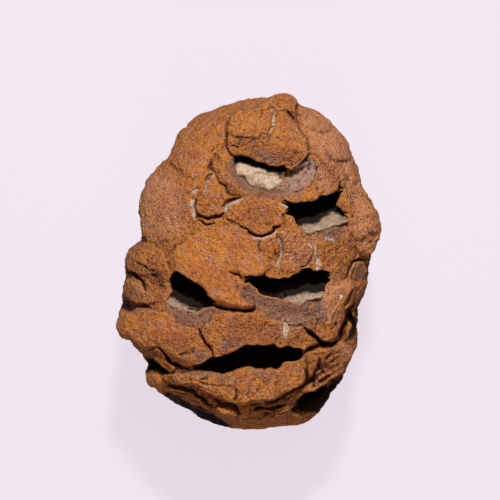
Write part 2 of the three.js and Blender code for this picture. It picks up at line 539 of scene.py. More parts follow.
@dataclass(frozen=True)
class FaceSocket:
    """A socket on the cone's face.

    Attributes:
        name: What it is called.
        mouth: Outline of the opening.
        floor: Depth of the rock floor at the middle of the opening.
        slope: How much the floor drops for each millimetre towards +X and towards +Y.
        deepest: Depth where the floor levels out.
        reach: How far the pocket runs in under the rock for each millimetre of depth, towards +X and +Y.
        dish: Outline of the shallow dish round the opening.
        dish_depth: Depth of that dish.
        dish_slope: Width of the dish's sloping side.
        rounding: How softly the opening's edge is rounded.
    """

    name: str
    mouth: Outline
    floor: float
    slope: Point
    deepest: float
    reach: Point
    dish: Outline = ()
    dish_depth: float = 0.0
    dish_slope: float = 1.5
    rounding: float = 0.12

    def pocket(self, block: "Block", plan: Plan, egg: Egg) -> Pocket:
        """Shape the socket's pocket.

        Args:
            block: The block that it is cut in.
            plan: The plan that it is drawn on.
            egg: The egg under the scales.

        Returns:
            The pocket.
        """
        mouth = plan.signed(self.mouth)
        corners = np.array(self.mouth)
        centre = corners.mean(axis=0)
        point, normal = egg.point_above(*centre)
        low, high = corners.min(axis=0) - 2.0, corners.max(axis=0) + 4.0
        bottom = point[2] - self.deepest - 4.0
        part = block.box((low[0], low[1], bottom), (high[0], high[1], block.high[2]))
        x, y, z = block.points(part)
        depth = -reach_along((x, y, z), point, normal)
        inward = np.maximum(depth, 0.0)
        walls = [
            plan.sample(mouth, x - self.reach[0] * share * inward, y - self.reach[1] * share * inward)
            for share in (0.0, 0.5, 1.0)
        ]
        floor = self.floor + self.slope[0] * (x - centre[0]) + self.slope[1] * (y - centre[1])
        return Pocket(part, np.minimum.reduce(walls), depth, np.clip(floor, 0.2, self.deepest), self.rounding)


UPPER_SOCKET = FaceSocket(
    name="upper",
    mouth=((-1.7, 11.5), (-1.3, 11.95), (-0.5, 12.05), (1, 11.9), (2, 11.65), (3.2, 11.3), (4.1, 11),
        (4.4, 10.6), (4, 10), (3.5, 9.4), (2.6, 9.1), (1.8, 9), (0.6, 9.1), (0, 9.6), (-0.9, 10),
        (-1.4, 10.9)),
    floor=2.15, slope=(0.0, 0.35), deepest=3.4, reach=(0.0, 0.6),
    dish=((-2.7, 11), (-2.3, 12.3), (-1.5, 12.7), (1, 12.4), (4.5, 11.4), (6.4, 12.3), (7.6, 12.4), (8, 11),
        (7.6, 10), (6.2, 8.8), (4.8, 8.1), (2.5, 7.9), (0.4, 8.2), (-1.5, 9.4)),
    dish_depth=0.85, dish_slope=1.2, rounding=0.3,
)
RIGHT_SOCKET = FaceSocket(
    name="right",
    mouth=((3.6, 7.4), (4.7, 7.05), (5.8, 6.8), (7, 7.05), (8, 7.45), (8.5, 7.85), (9.3, 7.95), (10.3, 7.85),
        (11.7, 8.6), (11, 7.8), (10.5, 7.2), (10.3, 6.4), (10.8, 5.6), (11.4, 5.2), (12.2, 4.7), (11, 4.6),
        (9.6, 4.2), (8.7, 3.1), (7.9, 3.3), (6.4, 4.1), (5.7, 4.8), (5.3, 5.6), (4.2, 5.8), (5.4, 6.2)),
    floor=4.2, slope=(-0.35, 1.4), deepest=5.6, reach=(0.0, 0.6),
    dish=((4.5, 6.6), (8, 8.1), (11, 8.6), (12.4, 6.6), (12.9, 4.6), (12.2, 3.2), (10.8, 2.4), (9, 2.4),
        (7.3, 3), (5.5, 4.3)),
    dish_depth=0.5,
)
LEFT_SOCKET = FaceSocket(
    name="left",
    mouth=((-9.5, -2.4), (-8.9, -1.7), (-8.3, -1.85), (-7.1, -2.3), (-6.25, -2.9), (-5.5, -3.6), (-4.8, -4.6),
        (-4.1, -5.4), (-3.6, -5.8), (-5.4, -5.9), (-6, -6.15), (-7, -6), (-8, -5.75), (-9.1, -5.4),
        (-9.8, -4.9), (-9.2, -4.2), (-9, -3.3)),
    floor=3.2, slope=(0.5, 1.3), deepest=5.0, reach=(0.25, 0.5),
    dish=((-9.8, -2.4), (-6, -3.4), (-4.6, -5.2), (-2.6, -6.2), (-3.4, -7), (-5, -7.6), (-6.6, -7.8),
        (-8.6, -7.4), (-9.9, -6.4), (-10.5, -5), (-10.4, -3.6)),
    dish_depth=0.5,
)
MIDDLE_SOCKET = FaceSocket(
    name="middle",
    mouth=((-0.7, -2.4), (0.4, -2.05), (1.5, -1.95), (2.2, -2.15), (2.8, -2.5), (3.9, -2.65), (4.7, -2.55),
        (5.4, -2), (6.3, -1.55), (7.3, -1.4), (8, -1.5), (8.9, -1.8), (9.9, -2.05), (9.3, -2.7), (8.9, -3.2),
        (9.1, -4.1), (8, -4.2), (7, -4.4), (6.3, -5), (5.6, -4.9), (4.4, -4.6), (3.4, -4.4), (2.6, -4.1),
        (1.9, -3.8), (1.1, -2.95), (0.2, -2.6)),
    floor=3.6, slope=(-0.15, 1.4), deepest=5.0, reach=(0.0, 0.6),
    dish=((-1.4, -2.2), (1.8, -1.9), (6, -1.8), (9.4, -2.2), (9.5, -4), (9.4, -6), (8.5, -7.1), (7, -7.3),
        (4.5, -7.2), (2.3, -6.9), (0.9, -5.6), (-0.2, -4.5), (-1.1, -3.4)),
    dish_depth=0.6,
)
LOWER_SOCKET = FaceSocket(
    name="lower",
    mouth=((-6.9, -12.6), (-6, -12.3), (-5.2, -11.9), (-4.6, -11.5), (-3.9, -11.5), (-3, -11.2),
        (-1.9, -10.9), (-0.8, -10.2), (1, -10.1), (3, -10.2), (4.8, -10.5), (5.5, -10.8), (7, -11.3),
        (6, -12.2), (5, -12.05), (4.3, -12.1), (3.7, -12.8), (2.6, -12.95), (1, -13), (-0.6, -12.7),
        (-1.9, -13.2), (-3.3, -13.45), (-4.6, -13), (-5.9, -12.8)),
    floor=4.4, slope=(0.0, 0.6), deepest=5.4, reach=(0.0, 0.45),
)
LOWER_LEFT_SOCKET = FaceSocket(
    name="lower_left",
    mouth=((-11.8, -12), (-11.6, -11.7), (-11.35, -12.2), (-10.85, -12.7), (-10.05, -13.2), (-9.3, -13.55),
        (-10.2, -13.75), (-11.2, -13.4), (-11.8, -13)),
    floor=2.2, slope=(0.2, 0.3), deepest=2.8, reach=(0.4, 0.5),
)
STALK_END_SOCKET = FaceSocket(
    name="stalk_end",
    mouth=((6.7, -16), (7.4, -16), (8.6, -15.6), (9.6, -14.8), (9.4, -15.8), (8.4, -16.7), (7.2, -17.3),
        (5.8, -17.5), (5.7, -17.2), (6.3, -16.6)),
    floor=4.4, slope=(-0.1, 0.4), deepest=5.0, reach=(-0.1, 0.4),
)
RIGHT_EDGE_SOCKET = FaceSocket(
    name="right_edge",
    mouth=((12.75, -5.8), (13, -7), (13, -8.2), (12.7, -9.2), (12.2, -9.4), (12, -9), (12.3, -8.2),
        (12.5, -7)),
    floor=2.4, slope=(0.0, 0.2), deepest=3.0, reach=(-0.3, 0.2),
)
SEAM_HOLE = FaceSocket(
    name="seam",
    mouth=((4.2, -7.5), (4.55, -7.3), (4.8, -7.8), (5.1, -8.2), (4.9, -8.7), (4.55, -9.4), (4.15, -9.3),
        (4.2, -8.7), (4, -8.2)),
    floor=0.75, slope=(0.0, 0.0), deepest=1.0, reach=(0.0, 0.0),
)
FACE_SOCKETS = (
    UPPER_SOCKET, RIGHT_SOCKET, LEFT_SOCKET, MIDDLE_SOCKET, LOWER_SOCKET, LOWER_LEFT_SOCKET, STALK_END_SOCKET,
    RIGHT_EDGE_SOCKET, SEAM_HOLE,
)


class ScaleKind(Enum):
    """How a scale has come down to us."""

    OPEN = "open"
    CLOSED = "closed"


@dataclass(frozen=True)
class Scale:
    """One scale of the spiral, on the flanks, the ends or the back.

    Attributes:
        number: Its place in the spiral, from the stalk end.
        kind: Whether its socket is open.
        half_width: Half of its socket's width.
        half_height: Half of its socket's height.
        lean: How far the socket's long side leans, in degrees.
        turn_each: Angle from one scale to the next.
        first_angle: Angle of scale 0 from straight up.
        rise_each: Height from one scale to the next.
        first_height: Height of scale 0 along the cone.
        last_height: How far from the middle a scale's own middle may lie.
    """

    number: int
    kind: ScaleKind = ScaleKind.CLOSED
    half_width: float = 3.1
    half_height: float = 1.1
    lean: float = 0.0

    turn_each: float = math.radians(137.3)
    first_angle: float = math.radians(-16.7)
    rise_each: float = 1.062
    first_height: float = -20.1
    last_height: float = 18.6

    @property
    def angle(self) -> float:
        """Angle round the cone from straight up, towards +X."""
        return self.first_angle + self.number * self.turn_each

    @property
    def height(self) -> float:
        """Height along the cone."""
        return self.first_height + self.number * self.rise_each

    def axes(self, egg: Egg) -> tuple[Array, Array, Array, Array]:
        """Stand a frame on the scale.

        Args:
            egg: The egg that it grows on.

        Returns:
            The scale's middle, and the ways across it, along it towards the tip, and out of it.
        """
        height = max(-self.last_height, min(self.last_height, self.height))
        middle, out = egg.point_round(self.angle, height)
        across = np.cross([0.0, 1.0, 0.0], out)
        across /= np.linalg.norm(across)
        along = np.cross(out, across)
        lean = math.radians(self.lean)
        turned = across * math.cos(lean) + along * math.sin(lean)
        return middle, turned, np.cross(out, turned), out


SCALE_COUNT = 38
# Scales whose sockets are open: number, then half width, half height and lean of the socket.
OPEN_SCALES = {
    4: (2.9, 1.0, 4.0), 7: (3.0, 1.05, -12.0), 14: (3.4, 1.3, 10.0), 15: (2.6, 1.0, -6.0),
    22: (2.8, 1.1, 8.0), 23: (3.4, 1.3, -10.0), 28: (2.9, 1.05, 5.0), 30: (3.4, 1.3, -5.0),
    33: (2.4, 0.9, 3.0),
}


def all_scales() -> list[Scale]:
    """List the spiral's scales, from the stalk end to the tip."""
    closed = {number: Scale(number) for number in range(SCALE_COUNT)}
    opened = {number: Scale(number, ScaleKind.OPEN, *socket) for number, socket in OPEN_SCALES.items()}
    return list({**closed, **opened}.values())


# The relief of the face

# Raised plates: lift, width of the edge, swell of the middle, outline.
PLATES: tuple[tuple[float, float, float, Outline], ...] = (
    # The slab at the top, over the upper socket.
    (1.1, 0.3, 0, ((-2.9, 14.6), (-2.7, 16), (-2.5, 17.2), (-1, 17.9), (1, 18.6), (3.5, 20.4), (5.8, 19.8),
     (5.9, 18), (5.9, 16.5), (6.8, 15.3), (7.1, 13.9), (7.4, 12.8), (6.2, 11.3), (4.8, 10.95), (3.2, 11.5),
     (1, 12.05), (-0.4, 12.2), (-1.5, 12.3), (-2.3, 12.9), (-2.8, 14))),
    (0.3, 0.4, 0, ((-2.8, 15), (0, 14.85), (1.4, 14.75), (2.3, 15), (2.7, 15.9), (2.9, 16.8), (2.8, 17.8),
     (1, 18.3), (-1, 17.8), (-2.4, 17.1))),
    # The rim between the upper socket and the right socket.
    (0.44, 0.21, 0.1, ((7.8, 12.2), (7.6, 13.2), (8.8, 12), (9.8, 10.5), (10.6, 9.5), (11.8, 8.9),
     (10.3, 8.1), (8.4, 8.2), (8.1, 7.5), (6.2, 6.9), (5.1, 6.7), (3.6, 7.4), (4.4, 8), (5.4, 8.35),
     (6.8, 9.2), (7.8, 9.9), (8.1, 11))),
    # The round plate left of the middle.
    (0.36, 0.21, 0.17, ((-4.5, 10.3), (-4, 9.9), (-3.2, 8.9), (-2.2, 8.1), (-2.3, 7.4), (-2.9, 6.6),
     (-3.2, 5.7), (-4, 5.35), (-5.2, 5.3), (-6, 5.5), (-6.4, 6.2), (-6.3, 7.1), (-6, 8), (-5.5, 8.9),
     (-5, 9.8))),
    # The plate under the upper socket.
    (0.36, 0.18, 0.1, ((-1.7, 7.7), (-2.3, 7), (-2.8, 6.2), (-2.5, 5.3), (-1.4, 4.8), (-0.6, 4.3), (0.1, 3.4),
     (1.6, 3.15), (2.9, 3.8), (4.2, 4.4), (4.7, 5), (3.7, 5.6), (5.3, 6.3), (3.6, 7.3), (2, 7.8), (0.2, 8))),
    # Three small plates over the middle socket.
    (0.12, 0.25, 0.08, ((1, 2.7), (1.15, 1.7), (1.9, 1.1), (3.5, 0.8), (3.65, 2), (3.3, 2.75), (2, 2.95))),
    (0.15, 0.18, 0.06, ((4, 2.7), (4.05, 1), (3.7, -0.7), (4.6, -1.6), (5.9, -1.4), (6.8, -0.8), (7.5, 0.3),
     (7.6, 2.2), (6.5, 3.2), (5, 3.5), (4.1, 3.3))),
    (0.12, 0.24, 0.06, ((8.1, 2.4), (8.2, 0.5), (8.3, -0.8), (9.5, -1.3), (11.4, -0.9), (12.1, 1),
     (11.2, 2.3), (9.5, 2.6))),
    # The large smooth plate over the left socket, with its tongue.
    (0.16, 0.6, 0.08, ((-9.2, -1), (-9.6, 0.2), (-9.4, 1.5), (-7.6, 2.6), (-5.5, 4), (-3, 4.2), (-1, 3.8),
     (0.3, 2.8), (1, 2), (1.7, 0.8), (2.6, 0.2), (2.6, -1), (1.6, -1.7), (0.2, -1.9), (-0.7, -1.9),
     (-1.2, -1.4), (-2, -1.3), (-1, -3.2), (-0.1, -4.3), (0.7, -4.8), (0.4, -5.5), (-1.8, -5.6), (-4, -5.4),
     (-4.9, -4.4), (-5.7, -3.4), (-6.6, -2.8), (-8.2, -2))),
    # The band over the lower socket.
    (0.48, 0.27, 0.12, ((-3.9, -6.5), (-2, -6.3), (0.6, -6), (1.2, -5.9), (2.4, -7.1), (4.3, -7.5),
     (6.2, -7.7), (7.2, -8.4), (8.8, -9.4), (7.1, -10.8), (5.5, -10.7), (3, -10.1), (0, -10), (-1.9, -10.8),
     (-4.2, -11.4), (-4.6, -10.7), (-5.5, -9.5), (-6, -8.3), (-5.2, -7.6))),
    # The lobe at the lower left.
    (0.56, 0.42, 0.2, ((-6.4, -8.2), (-6.1, -9.2), (-5, -10.6), (-4.5, -11.4), (-5.2, -11.9), (-6.7, -12.4),
     (-8.4, -12.2), (-9.6, -11.4), (-10.6, -10.4), (-12.7, -10.3), (-14.2, -9.6), (-15.4, -8.2),
     (-14.8, -6.2), (-12, -5.7), (-10, -6.2), (-8.5, -7.4))),
    # The long splinter below that lobe.
    (0.6, 0.25, 0.12, ((-11.5, -11.2), (-11.35, -10.5), (-10.9, -10.4), (-10.2, -11.05), (-9.3, -11.9),
     (-8.5, -12.5), (-9, -13.25), (-10.1, -13), (-11, -12.3))),
    # The lens of wood under the lip.
    (0.6, 0.3, 0.1, ((-3.8, -17.5), (-2.8, -17.2), (-1.5, -17.6), (-1, -18.2), (-1.4, -18.6), (-2.5, -18.3),
     (-3.4, -18))),
    # The lip under the lower socket.
    (0.6, 0.36, 0.1, ((-9, -13.3), (-6, -12.9), (-3.5, -13.5), (-1, -12.95), (2, -12.9), (3.5, -13),
     (5, -12.15), (6.8, -11.9), (7, -13.5), (6.9, -14.9), (5, -15.6), (2, -16.8), (-1, -17), (-4, -16.4),
     (-7, -15), (-9.8, -14.8), (-11, -14))),
    # The left shoulder and the lobe below it.
    (0.36, 0.42, 0.1, ((-15.4, 1.2), (-12.9, 2.9), (-10.5, 1.6), (-9.6, 0), (-9.6, -1.2), (-11, -1.9),
     (-13, -1.6), (-15, -0.6))),
    (0.32, 0.3, 0.1, ((-15.6, -1.9), (-13.2, -2.6), (-12.2, -3.6), (-10.6, -3.4), (-10.3, -4.8),
     (-11.6, -5.2), (-13, -5.2), (-14, -5), (-15.6, -4.6))),
    # The plates of the right flank.
    (0.28, 0.3, 0.1, ((9.6, -3), (11, -2.9), (12.4, -2.2), (14.2, -3), (13.5, -5.8), (12.3, -6.2),
     (11.1, -7.6), (10.5, -8.9), (9.3, -9.3), (9.3, -6.5))),
    (0.32, 0.3, 0.1, ((7.2, -11.3), (8.6, -10.5), (10.2, -10.3), (11.5, -9.8), (12.8, -10.5), (12.1, -12.6),
     (11, -13.8), (9.3, -14.2), (8.4, -14.4), (7.4, -15), (7.2, -13.5))),
    # The smooth plate at the upper left.
    (0.24, 0.36, 0.1, ((-9.2, 14.6), (-6, 16.6), (-3.2, 17.4), (-3, 15), (-3.2, 14), (-4.6, 12.6), (-5, 10.6),
     (-7, 9.8), (-8.4, 11.6), (-10.2, 12))),
    # The lobes of the far rim.
    (0.22, 0.7, 0.16, ((6.3, 18.9), (8.4, 18.8), (10.4, 17.2), (10.4, 15.9), (8.9, 15.5), (7.4, 16.2),
     (6.5, 17.4))),
    (0.26, 0.7, 0.18, ((8.9, 15.2), (10.6, 15.8), (12.2, 14.6), (12.8, 13.2), (11.9, 11.9), (10.2, 12.4),
     (9, 13.8))),
    (0.22, 0.6, 0.14, ((12, 11.6), (12.9, 12.8), (13.8, 11.3), (14, 9.9), (12.6, 9.2), (11.7, 10.3))),
)

# Parts that have broken away: depth, width of the edge, outline.
BREAKS: tuple[tuple[float, float, Outline], ...] = (
    (2.6, 0.7, ((4.7, -17.9), (5.7, -17.2), (6.7, -16), (7.4, -15.5), (8.1, -15.8), (9, -15.1), (10.1, -14.1),
     (11.2, -13.2), (12, -12.3), (13.5, -12), (13, -16), (10, -20.5), (6.8, -20.5), (6.4, -18.7),
     (5.4, -18.6))),
    (2, 0.6, ((13.1, -5.4), (12.9, -6.4), (12.5, -7.6), (12.3, -8.8), (12.6, -9.8), (15, -10.2), (15, -5.2))),
    (2, 0.5, ((-12.6, -16.4), (-11.2, -16.3), (-10, -16.5), (-8.7, -16.9), (-6.3, -17.4), (-4, -18.3),
     (-2, -19.3), (-2, -21), (-8, -21), (-13, -17))),
)

# Knobs that swell out of the rock: middle and half size.
KNOBS: tuple[tuple[Triple, Triple], ...] = (
    ((-10.1, -13.8, 16.8), (2.0, 1.6, 2.7)),
    ((9.6, -12.6, 17.6), (1.9, 1.8, 2.4)),
    ((11.0, -10.9, 17.0), (1.2, 1.3, 2.0)),
    ((-14.0, -7.6, 18.0), (1.5, 1.6, 2.2)),
)

# Parts that tilt: rise towards +X and +Y, the point that stays as it is, how softly it starts, outline.
TILTS: tuple[tuple[Point, Point, float, Outline], ...] = (
    ((0, -0.46), (0, -13.4), 0.6, ((-9.6, -13.2), (-6, -12.6), (-3.5, -13.3), (-1, -12.8), (2, -12.7),
     (3.5, -12.8), (5, -12), (6.8, -11.8), (7.1, -13.5), (6.9, -15.1), (5, -15.8), (2, -17), (-1, -17.2),
     (-4, -16.6), (-7, -15.3), (-9.2, -14.8))),
    ((-0.12, -0.2), (-9, -8.4), 0.6, ((-9, -6.6), (-6.8, -8), (-6, -9.2), (-4.8, -11), (-6.7, -12.4),
     (-9.4, -11.6), (-12.7, -10.5), (-14.4, -9.5), (-15.4, -7.9), (-15.4, -5), (-12, -5.6))),
    ((0.15, 0.1), (10.5, -5), 0.6, ((9.4, -2.6), (12.4, -2.4), (13.4, -4), (11.6, -6.4), (9.8, -8.6))),
    ((0.58, 0), (12.4, 4), 0.6, ((12, 7.6), (12.6, 4), (12.4, 0.8), (15.5, 0), (16.5, 5), (14.2, 8.6))),
    ((0.02, -0.07), (-6, 2.6), 0.6, ((-9.2, -1), (-9.5, 0.2), (-9.2, 1.5), (-7.6, 2.6), (-5.5, 4), (-3, 4.2),
     (-1, 3.8), (0.3, 2.8), (1, 2), (1.7, 0.8), (2.6, 0.2), (2.6, -1), (1.6, -1.7), (0.2, -1.9), (-0.7, -1.9),
     (-1.2, -1.4), (-2, -1.3), (-1, -3.2), (-0.1, -4.3), (0.7, -4.8), (0.4, -5.5), (-1.8, -5.6), (-4, -5.4),
     (-4.9, -4.4), (-5.7, -3.4), (-6.6, -2.8), (-8.2, -2))),
    ((-0.24, 0), (-9.2, 6), 2.4, ((-14.6, 1.6), (-9.6, 2), (-7.4, 5), (-7.6, 8.6), (-8.6, 11), (-12.6, 12),
     (-15.4, 8))),
    ((0, -0.42), (0, -16.7), 1, ((-0.9, -16.9), (2, -16.8), (5, -15.7), (6.4, -15.4), (6.2, -16.6),
     (5.2, -17.6), (4.6, -18.6), (3.4, -19.4), (0, -19.5), (-0.6, -18.6))),
    ((0, -0.9), (-2.4, -17.3), 0.4, ((-3.9, -17.4), (-2.8, -17.1), (-1.4, -17.5), (-0.9, -18.3),
     (-1.4, -18.7), (-3, -18.3))),
    ((-0.16, -0.44), (-6.4, -15.6), 0.3, ((-9.6, -14.9), (-7, -15.2), (-4.8, -16.4), (-2, -17.2),
     (-1.2, -17.8), (-2.4, -18.5), (-4.8, -17.8), (-7.2, -16.9), (-9.6, -16))),
)

# Cracks: width, depth, line.
CRACKS: tuple[tuple[float, float, Outline], ...] = (
    (0.2, 0.3, ((-2.9, 15.4), (-2.8, 14.4), (-2.6, 13.7), (-2.3, 13))),
    (0.15, 0.25, ((-2.6, 14), (-1.7, 13.7), (-1.3, 13.4))),
    (0.16, 0.2, ((2.9, 17.8), (3.05, 17), (2.95, 16), (2.7, 15.2), (2.5, 14.6), (2.2, 14))),
    (0.14, 0.2, ((4, 14.1), (4.5, 14.5), (5, 14.8))),
    (0.2, 0.35, ((7.3, 12.8), (7.1, 13.5))),
    (0.14, 0.15, ((7, 14.5), (6.6, 15.3), (6.2, 16), (5.9, 16.5))),
    (0.3, 0.5, ((5.8, 16.6), (5.5, 17.2), (5, 17.6), (4.8, 18))),
    (0.25, 0.9, ((5.2, 11.2), (6, 11.6), (6.8, 12.2), (7.2, 12.8))),
    (0.15, 0.25, ((8.2, 10.1), (7.8, 9.9), (7, 9.2), (6.2, 8.8), (5.2, 8.3))),
    (0.13, 0.15, ((9.9, 8.6), (10.4, 9.3), (10.9, 9.9))),
    (0.2, 0.35, ((10.3, 6.1), (10.8, 5.6), (11.2, 5.05), (11.9, 5))),
    (0.14, 0.2, ((10.1, 1.5), (10.8, 1.35))),
    (0.5, 0.08, ((7.2, 16.2), (8.3, 15.7), (9.2, 15.6), (10.6, 16.2))),
    (0.5, 0.08, ((9.2, 13.8), (10, 12.6), (11, 12), (12, 12.1))),
    (0.15, 0.25, ((-5, 13), (-4.6, 13.3), (-4.2, 13.6), (-3.6, 14.3))),
    (0.2, 0.3, ((-8.2, 11.7), (-8, 11.2), (-7.6, 10.9))),
    (0.3, 0.5, ((-4.5, 12.3), (-4.6, 11.3), (-4, 10.4))),
    (0.18, 0.35, ((-4, 10.4), (-3.6, 9.6), (-3, 9), (-2, 8.2), (-1.2, 7.9))),
    (0.2, 0.4, ((-4.4, 10.4), (-5, 10.1), (-5.5, 9.6))),
    (0.15, 0.25, ((-5.5, 8.3), (-5.4, 9), (-5, 9.5), (-4.3, 10.1))),
    (0.26, 0.6, ((-6.3, 7.2), (-6.45, 6.3), (-6.2, 5.4), (-5.6, 5.15), (-4, 5.25), (-3.3, 5.5), (-2.95, 6))),
    (0.22, 0.5, ((-6, 5), (-5.3, 4.5), (-4.9, 4.3), (-4, 4.6))),
    (0.15, 0.3, ((-7.2, 8.1), (-6.8, 8.4), (-6, 9))),
    (0.14, 0.25, ((-6.2, 7.8), (-5.7, 8))),
    (0.28, 0.7, ((-3, 6.7), (-2.6, 7.2), (-2.2, 7.5), (-1.6, 7.7), (-1, 7.95))),
    (0.14, 0.25, ((-3.4, 4.8), (-2.9, 4.6), (-2.2, 4.2))),
    (0.24, 0.8, ((-0.6, 4.2), (-0.2, 3.9), (0.1, 3.3), (0.8, 3.05), (1.6, 3.05), (2.4, 3.3), (2.9, 3.6),
     (3, 3.95), (3.7, 3.95), (4.1, 4.2))),
    (0.18, 0.35, ((0.95, 2.6), (1.1, 2), (1.4, 1.5), (2, 1.2))),
    (0.22, 0.4, ((3.4, 2.7), (3.75, 2.2), (3.85, 1.6), (3.8, 1), (3.6, 0.4), (3.45, -0.2), (3.4, -0.8))),
    (0.22, 0.5, ((3.3, 2.9), (3.7, 2.7), (4, 2.4))),
    (0.13, 0.2, ((4, 1.35), (4.8, 1.15), (5.2, 1), (5.8, 0.95))),
    (0.15, 0.3, ((2.4, 0.35), (2.9, 0.3))),
    (0.2, 0.4, ((2.4, -1), (2.1, -1.4), (2, -1.7))),
    (0.18, 0.4, ((7.5, 0.6), (7.3, 0.1), (7, -0.4), (6.6, -0.8), (5.7, -0.8))),
    (0.2, 0.35, ((7.9, 2.2), (7.7, 1.5), (7.8, 0.8), (8, 0.2), (8.1, -0.4), (8.1, -1))),
    (0.18, 0.3, ((-9.7, 0.7), (-9, 1.4), (-8.7, 1.9), (-7.9, 2.2), (-7.4, 2.5))),
    (0.22, 0.5, ((-2.4, -1.1), (-1.7, -1.45), (-1.2, -1.55), (-0.9, -1.9), (-0.7, -2.2))),
    (0.32, 1, ((-4.2, -5.5), (-3.5, -5.75), (-2.5, -5.85), (-1, -5.9), (0, -5.85), (0.45, -5.6),
     (0.7, -5.2))),
    (0.13, 0.2, ((-12.9, -0.3), (-11.8, -1.2), (-10.8, -1.5))),
    (0.13, 0.2, ((-12.7, -1.4), (-11.8, -2.2), (-11.5, -2.4))),
    (0.13, 0.2, ((-10.8, -2.9), (-10, -3.2))),
    (0.32, 0.7, ((-14.9, -1), (-14.3, -1.3), (-13.8, -1.4), (-13.2, -1.8), (-12.9, -2.3), (-12.6, -2.9),
     (-12.4, -3.4))),
    (0.7, 1.5, ((-15.4, -5), (-14.7, -5.3), (-14.2, -5.7), (-13.9, -6.1))),
    (0.25, 0.5, ((-13.6, -5.6), (-13, -5.5), (-12.3, -5.35), (-11.6, -5.6))),
    (0.2, 0.35, ((-9, -0.2), (-8.8, -0.9), (-8.9, -1.5))),
    (0.15, 0.3, ((-9.8, -0.1), (-9.2, -0.6))),
    (0.25, 0.5, ((14.2, 0), (13, 0), (12.3, -0.1), (12.1, -0.5), (11.9, -1), (11.7, -1.7), (11.4, -2.4))),
    (0.22, 0.7, ((-6.2, -8), (-5.9, -8.6), (-5.8, -9.2), (-5.4, -9.7), (-4.9, -10.2), (-4.5, -10.8),
     (-4.2, -11.4))),
    (0.18, 0.3, ((-8.5, -11.2), (-7.8, -10.9), (-6.6, -10.8), (-6.4, -10.3))),
    (0.2, 0.5, ((4.4, -7.1), (4.5, -7.6), (5, -8), (5.6, -7.9), (6.3, -7.8), (6.9, -7.9))),
    (0.45, 2, ((7, -8.2), (7.4, -8.6), (7.9, -9), (8.5, -9.35), (9.1, -9.65), (9.6, -9.8))),
    (0.42, 1.4, ((6.8, -11.2), (7.3, -10.8), (8, -10.3), (8.6, -10.1), (9.3, -10), (10, -9.9), (10.5, -9.6))),
    (0.6, 1.7, ((10.5, -9.6), (10.9, -9), (11.2, -8.2), (11.6, -7.6), (12.1, -7), (12.7, -6), (13.1, -5.3))),
    (0.5, 1.5, ((7.1, -14.7), (7.6, -14.3), (8, -13.8))),
    (0.3, 0.9, ((8.8, -11.4), (8.9, -12), (8.7, -12.6), (8.3, -13.2), (8, -13.8))),
    (0.25, 0.6, ((8.3, -14.4), (9.2, -13.8), (10.2, -13.3), (11, -12.9))),
    (0.3, 0.6, ((9.3, -12.5), (9.8, -12.2))),
    (0.26, 0.5, ((9.5, -11.5), (10, -11))),
    (0.3, 0.6, ((10.1, -12.8), (10.9, -12.3))),
    (0.22, 0.4, ((9.9, -11.9), (10.5, -11.5))),
    (0.3, 0.6, ((0.6, -17.8), (1.4, -17.7), (2.2, -17.6), (3.2, -17.2), (4.4, -16.8))),
    (0.2, 0.3, ((-0.3, -18.7), (0.8, -18.7), (1.8, -18.5), (2.8, -18.5), (3.8, -18.1))),
    (0.3, 0.5, ((1.5, -18.1), (2.1, -18.2), (2.5, -18))),
    (0.22, 0.4, ((-1.35, -16.9), (-1.3, -17.6), (-1.1, -18.3))),
    (0.2, 0.35, ((-0.1, -17.3), (0, -17.9), (-0.2, -18.5))),
    (0.2, 0.25, ((-10.3, -15), (-9.1, -15.2), (-7.8, -15.5), (-6.4, -16.1), (-5, -16.9), (-3.9, -17.4))),
    (0.2, 0.35, ((-11.9, -10.6), (-10.8, -10.3))),
    (0.12, 0.2, ((-10.7, -11.8), (-10, -12.4), (-9.5, -12.9))),
    (0.14, 0.2, ((12, -3.6), (11.2, -4.9), (10.3, -6.2), (9.6, -7.6))),
    (0.2, 0.35, ((13, -3), (12.2, -4.6), (11.6, -6))),
    (0.26, 0.6, ((-10.7, -10.4), (-10, -11.1), (-9.2, -11.9), (-8.7, -12.3), (-8, -12.4), (-7, -12.6))),
    (0.2, 0.25, ((-9.8, -14.8), (-8.5, -14.9), (-7, -15), (-6, -15.4), (-5, -16), (-4, -16.5), (-2.8, -17))),
    (0.2, 0.4, ((-1.1, -14.9), (-1.2, -16), (-1.45, -16.8), (-1.3, -17.3))),
    (0.2, 0.4, ((-5.7, -14.2), (-5.2, -13.8), (-5.05, -13.3))),
    (0.32, 0.8, ((6.9, -13), (7.1, -14), (6.9, -14.9), (6.2, -15.2), (5, -15.6), (3.5, -16.2), (2, -16.8))),
    (0.3, 0.5, ((9.2, -12.2), (8.8, -13.2), (8.2, -14), (7.8, -14.8))),
)

# Stripes where the wood's layers stand out: how many, width, depth, first line, last line.
LAYERS: tuple[tuple[int, float, float, Outline, Outline], ...] = (
    (6, 0.16, 0.28, ((-13.8, 0.2), (-12, -0.9), (-10.3, -1.6)), ((-11.4, -2.6), (-10.4, -3), (-9.8, -3.4))),
    (5, 0.15, 0.3, ((-11, -15), (-8, -15.6), (-4.5, -16.9)), ((-9.4, -16.9), (-6.5, -17.7), (-3.4, -18.5))),
    (2, 0.15, 0.2, ((-8.5, -13.9), (-5.5, -14.6), (-2, -15)), ((-8.5, -14.4), (-6, -15.1), (-3, -16))),
    (4, 0.15, 0.15, ((8.4, -12), (9.8, -11.2), (11.2, -10.9)), ((9, -13.9), (10.4, -13.1), (11.6, -12.4))),
    (4, 0.16, 0.16, ((0.2, -17.4), (2.6, -17.2), (4.8, -16.4)), ((0.2, -19), (2.6, -18.7), (4.6, -18))),
)

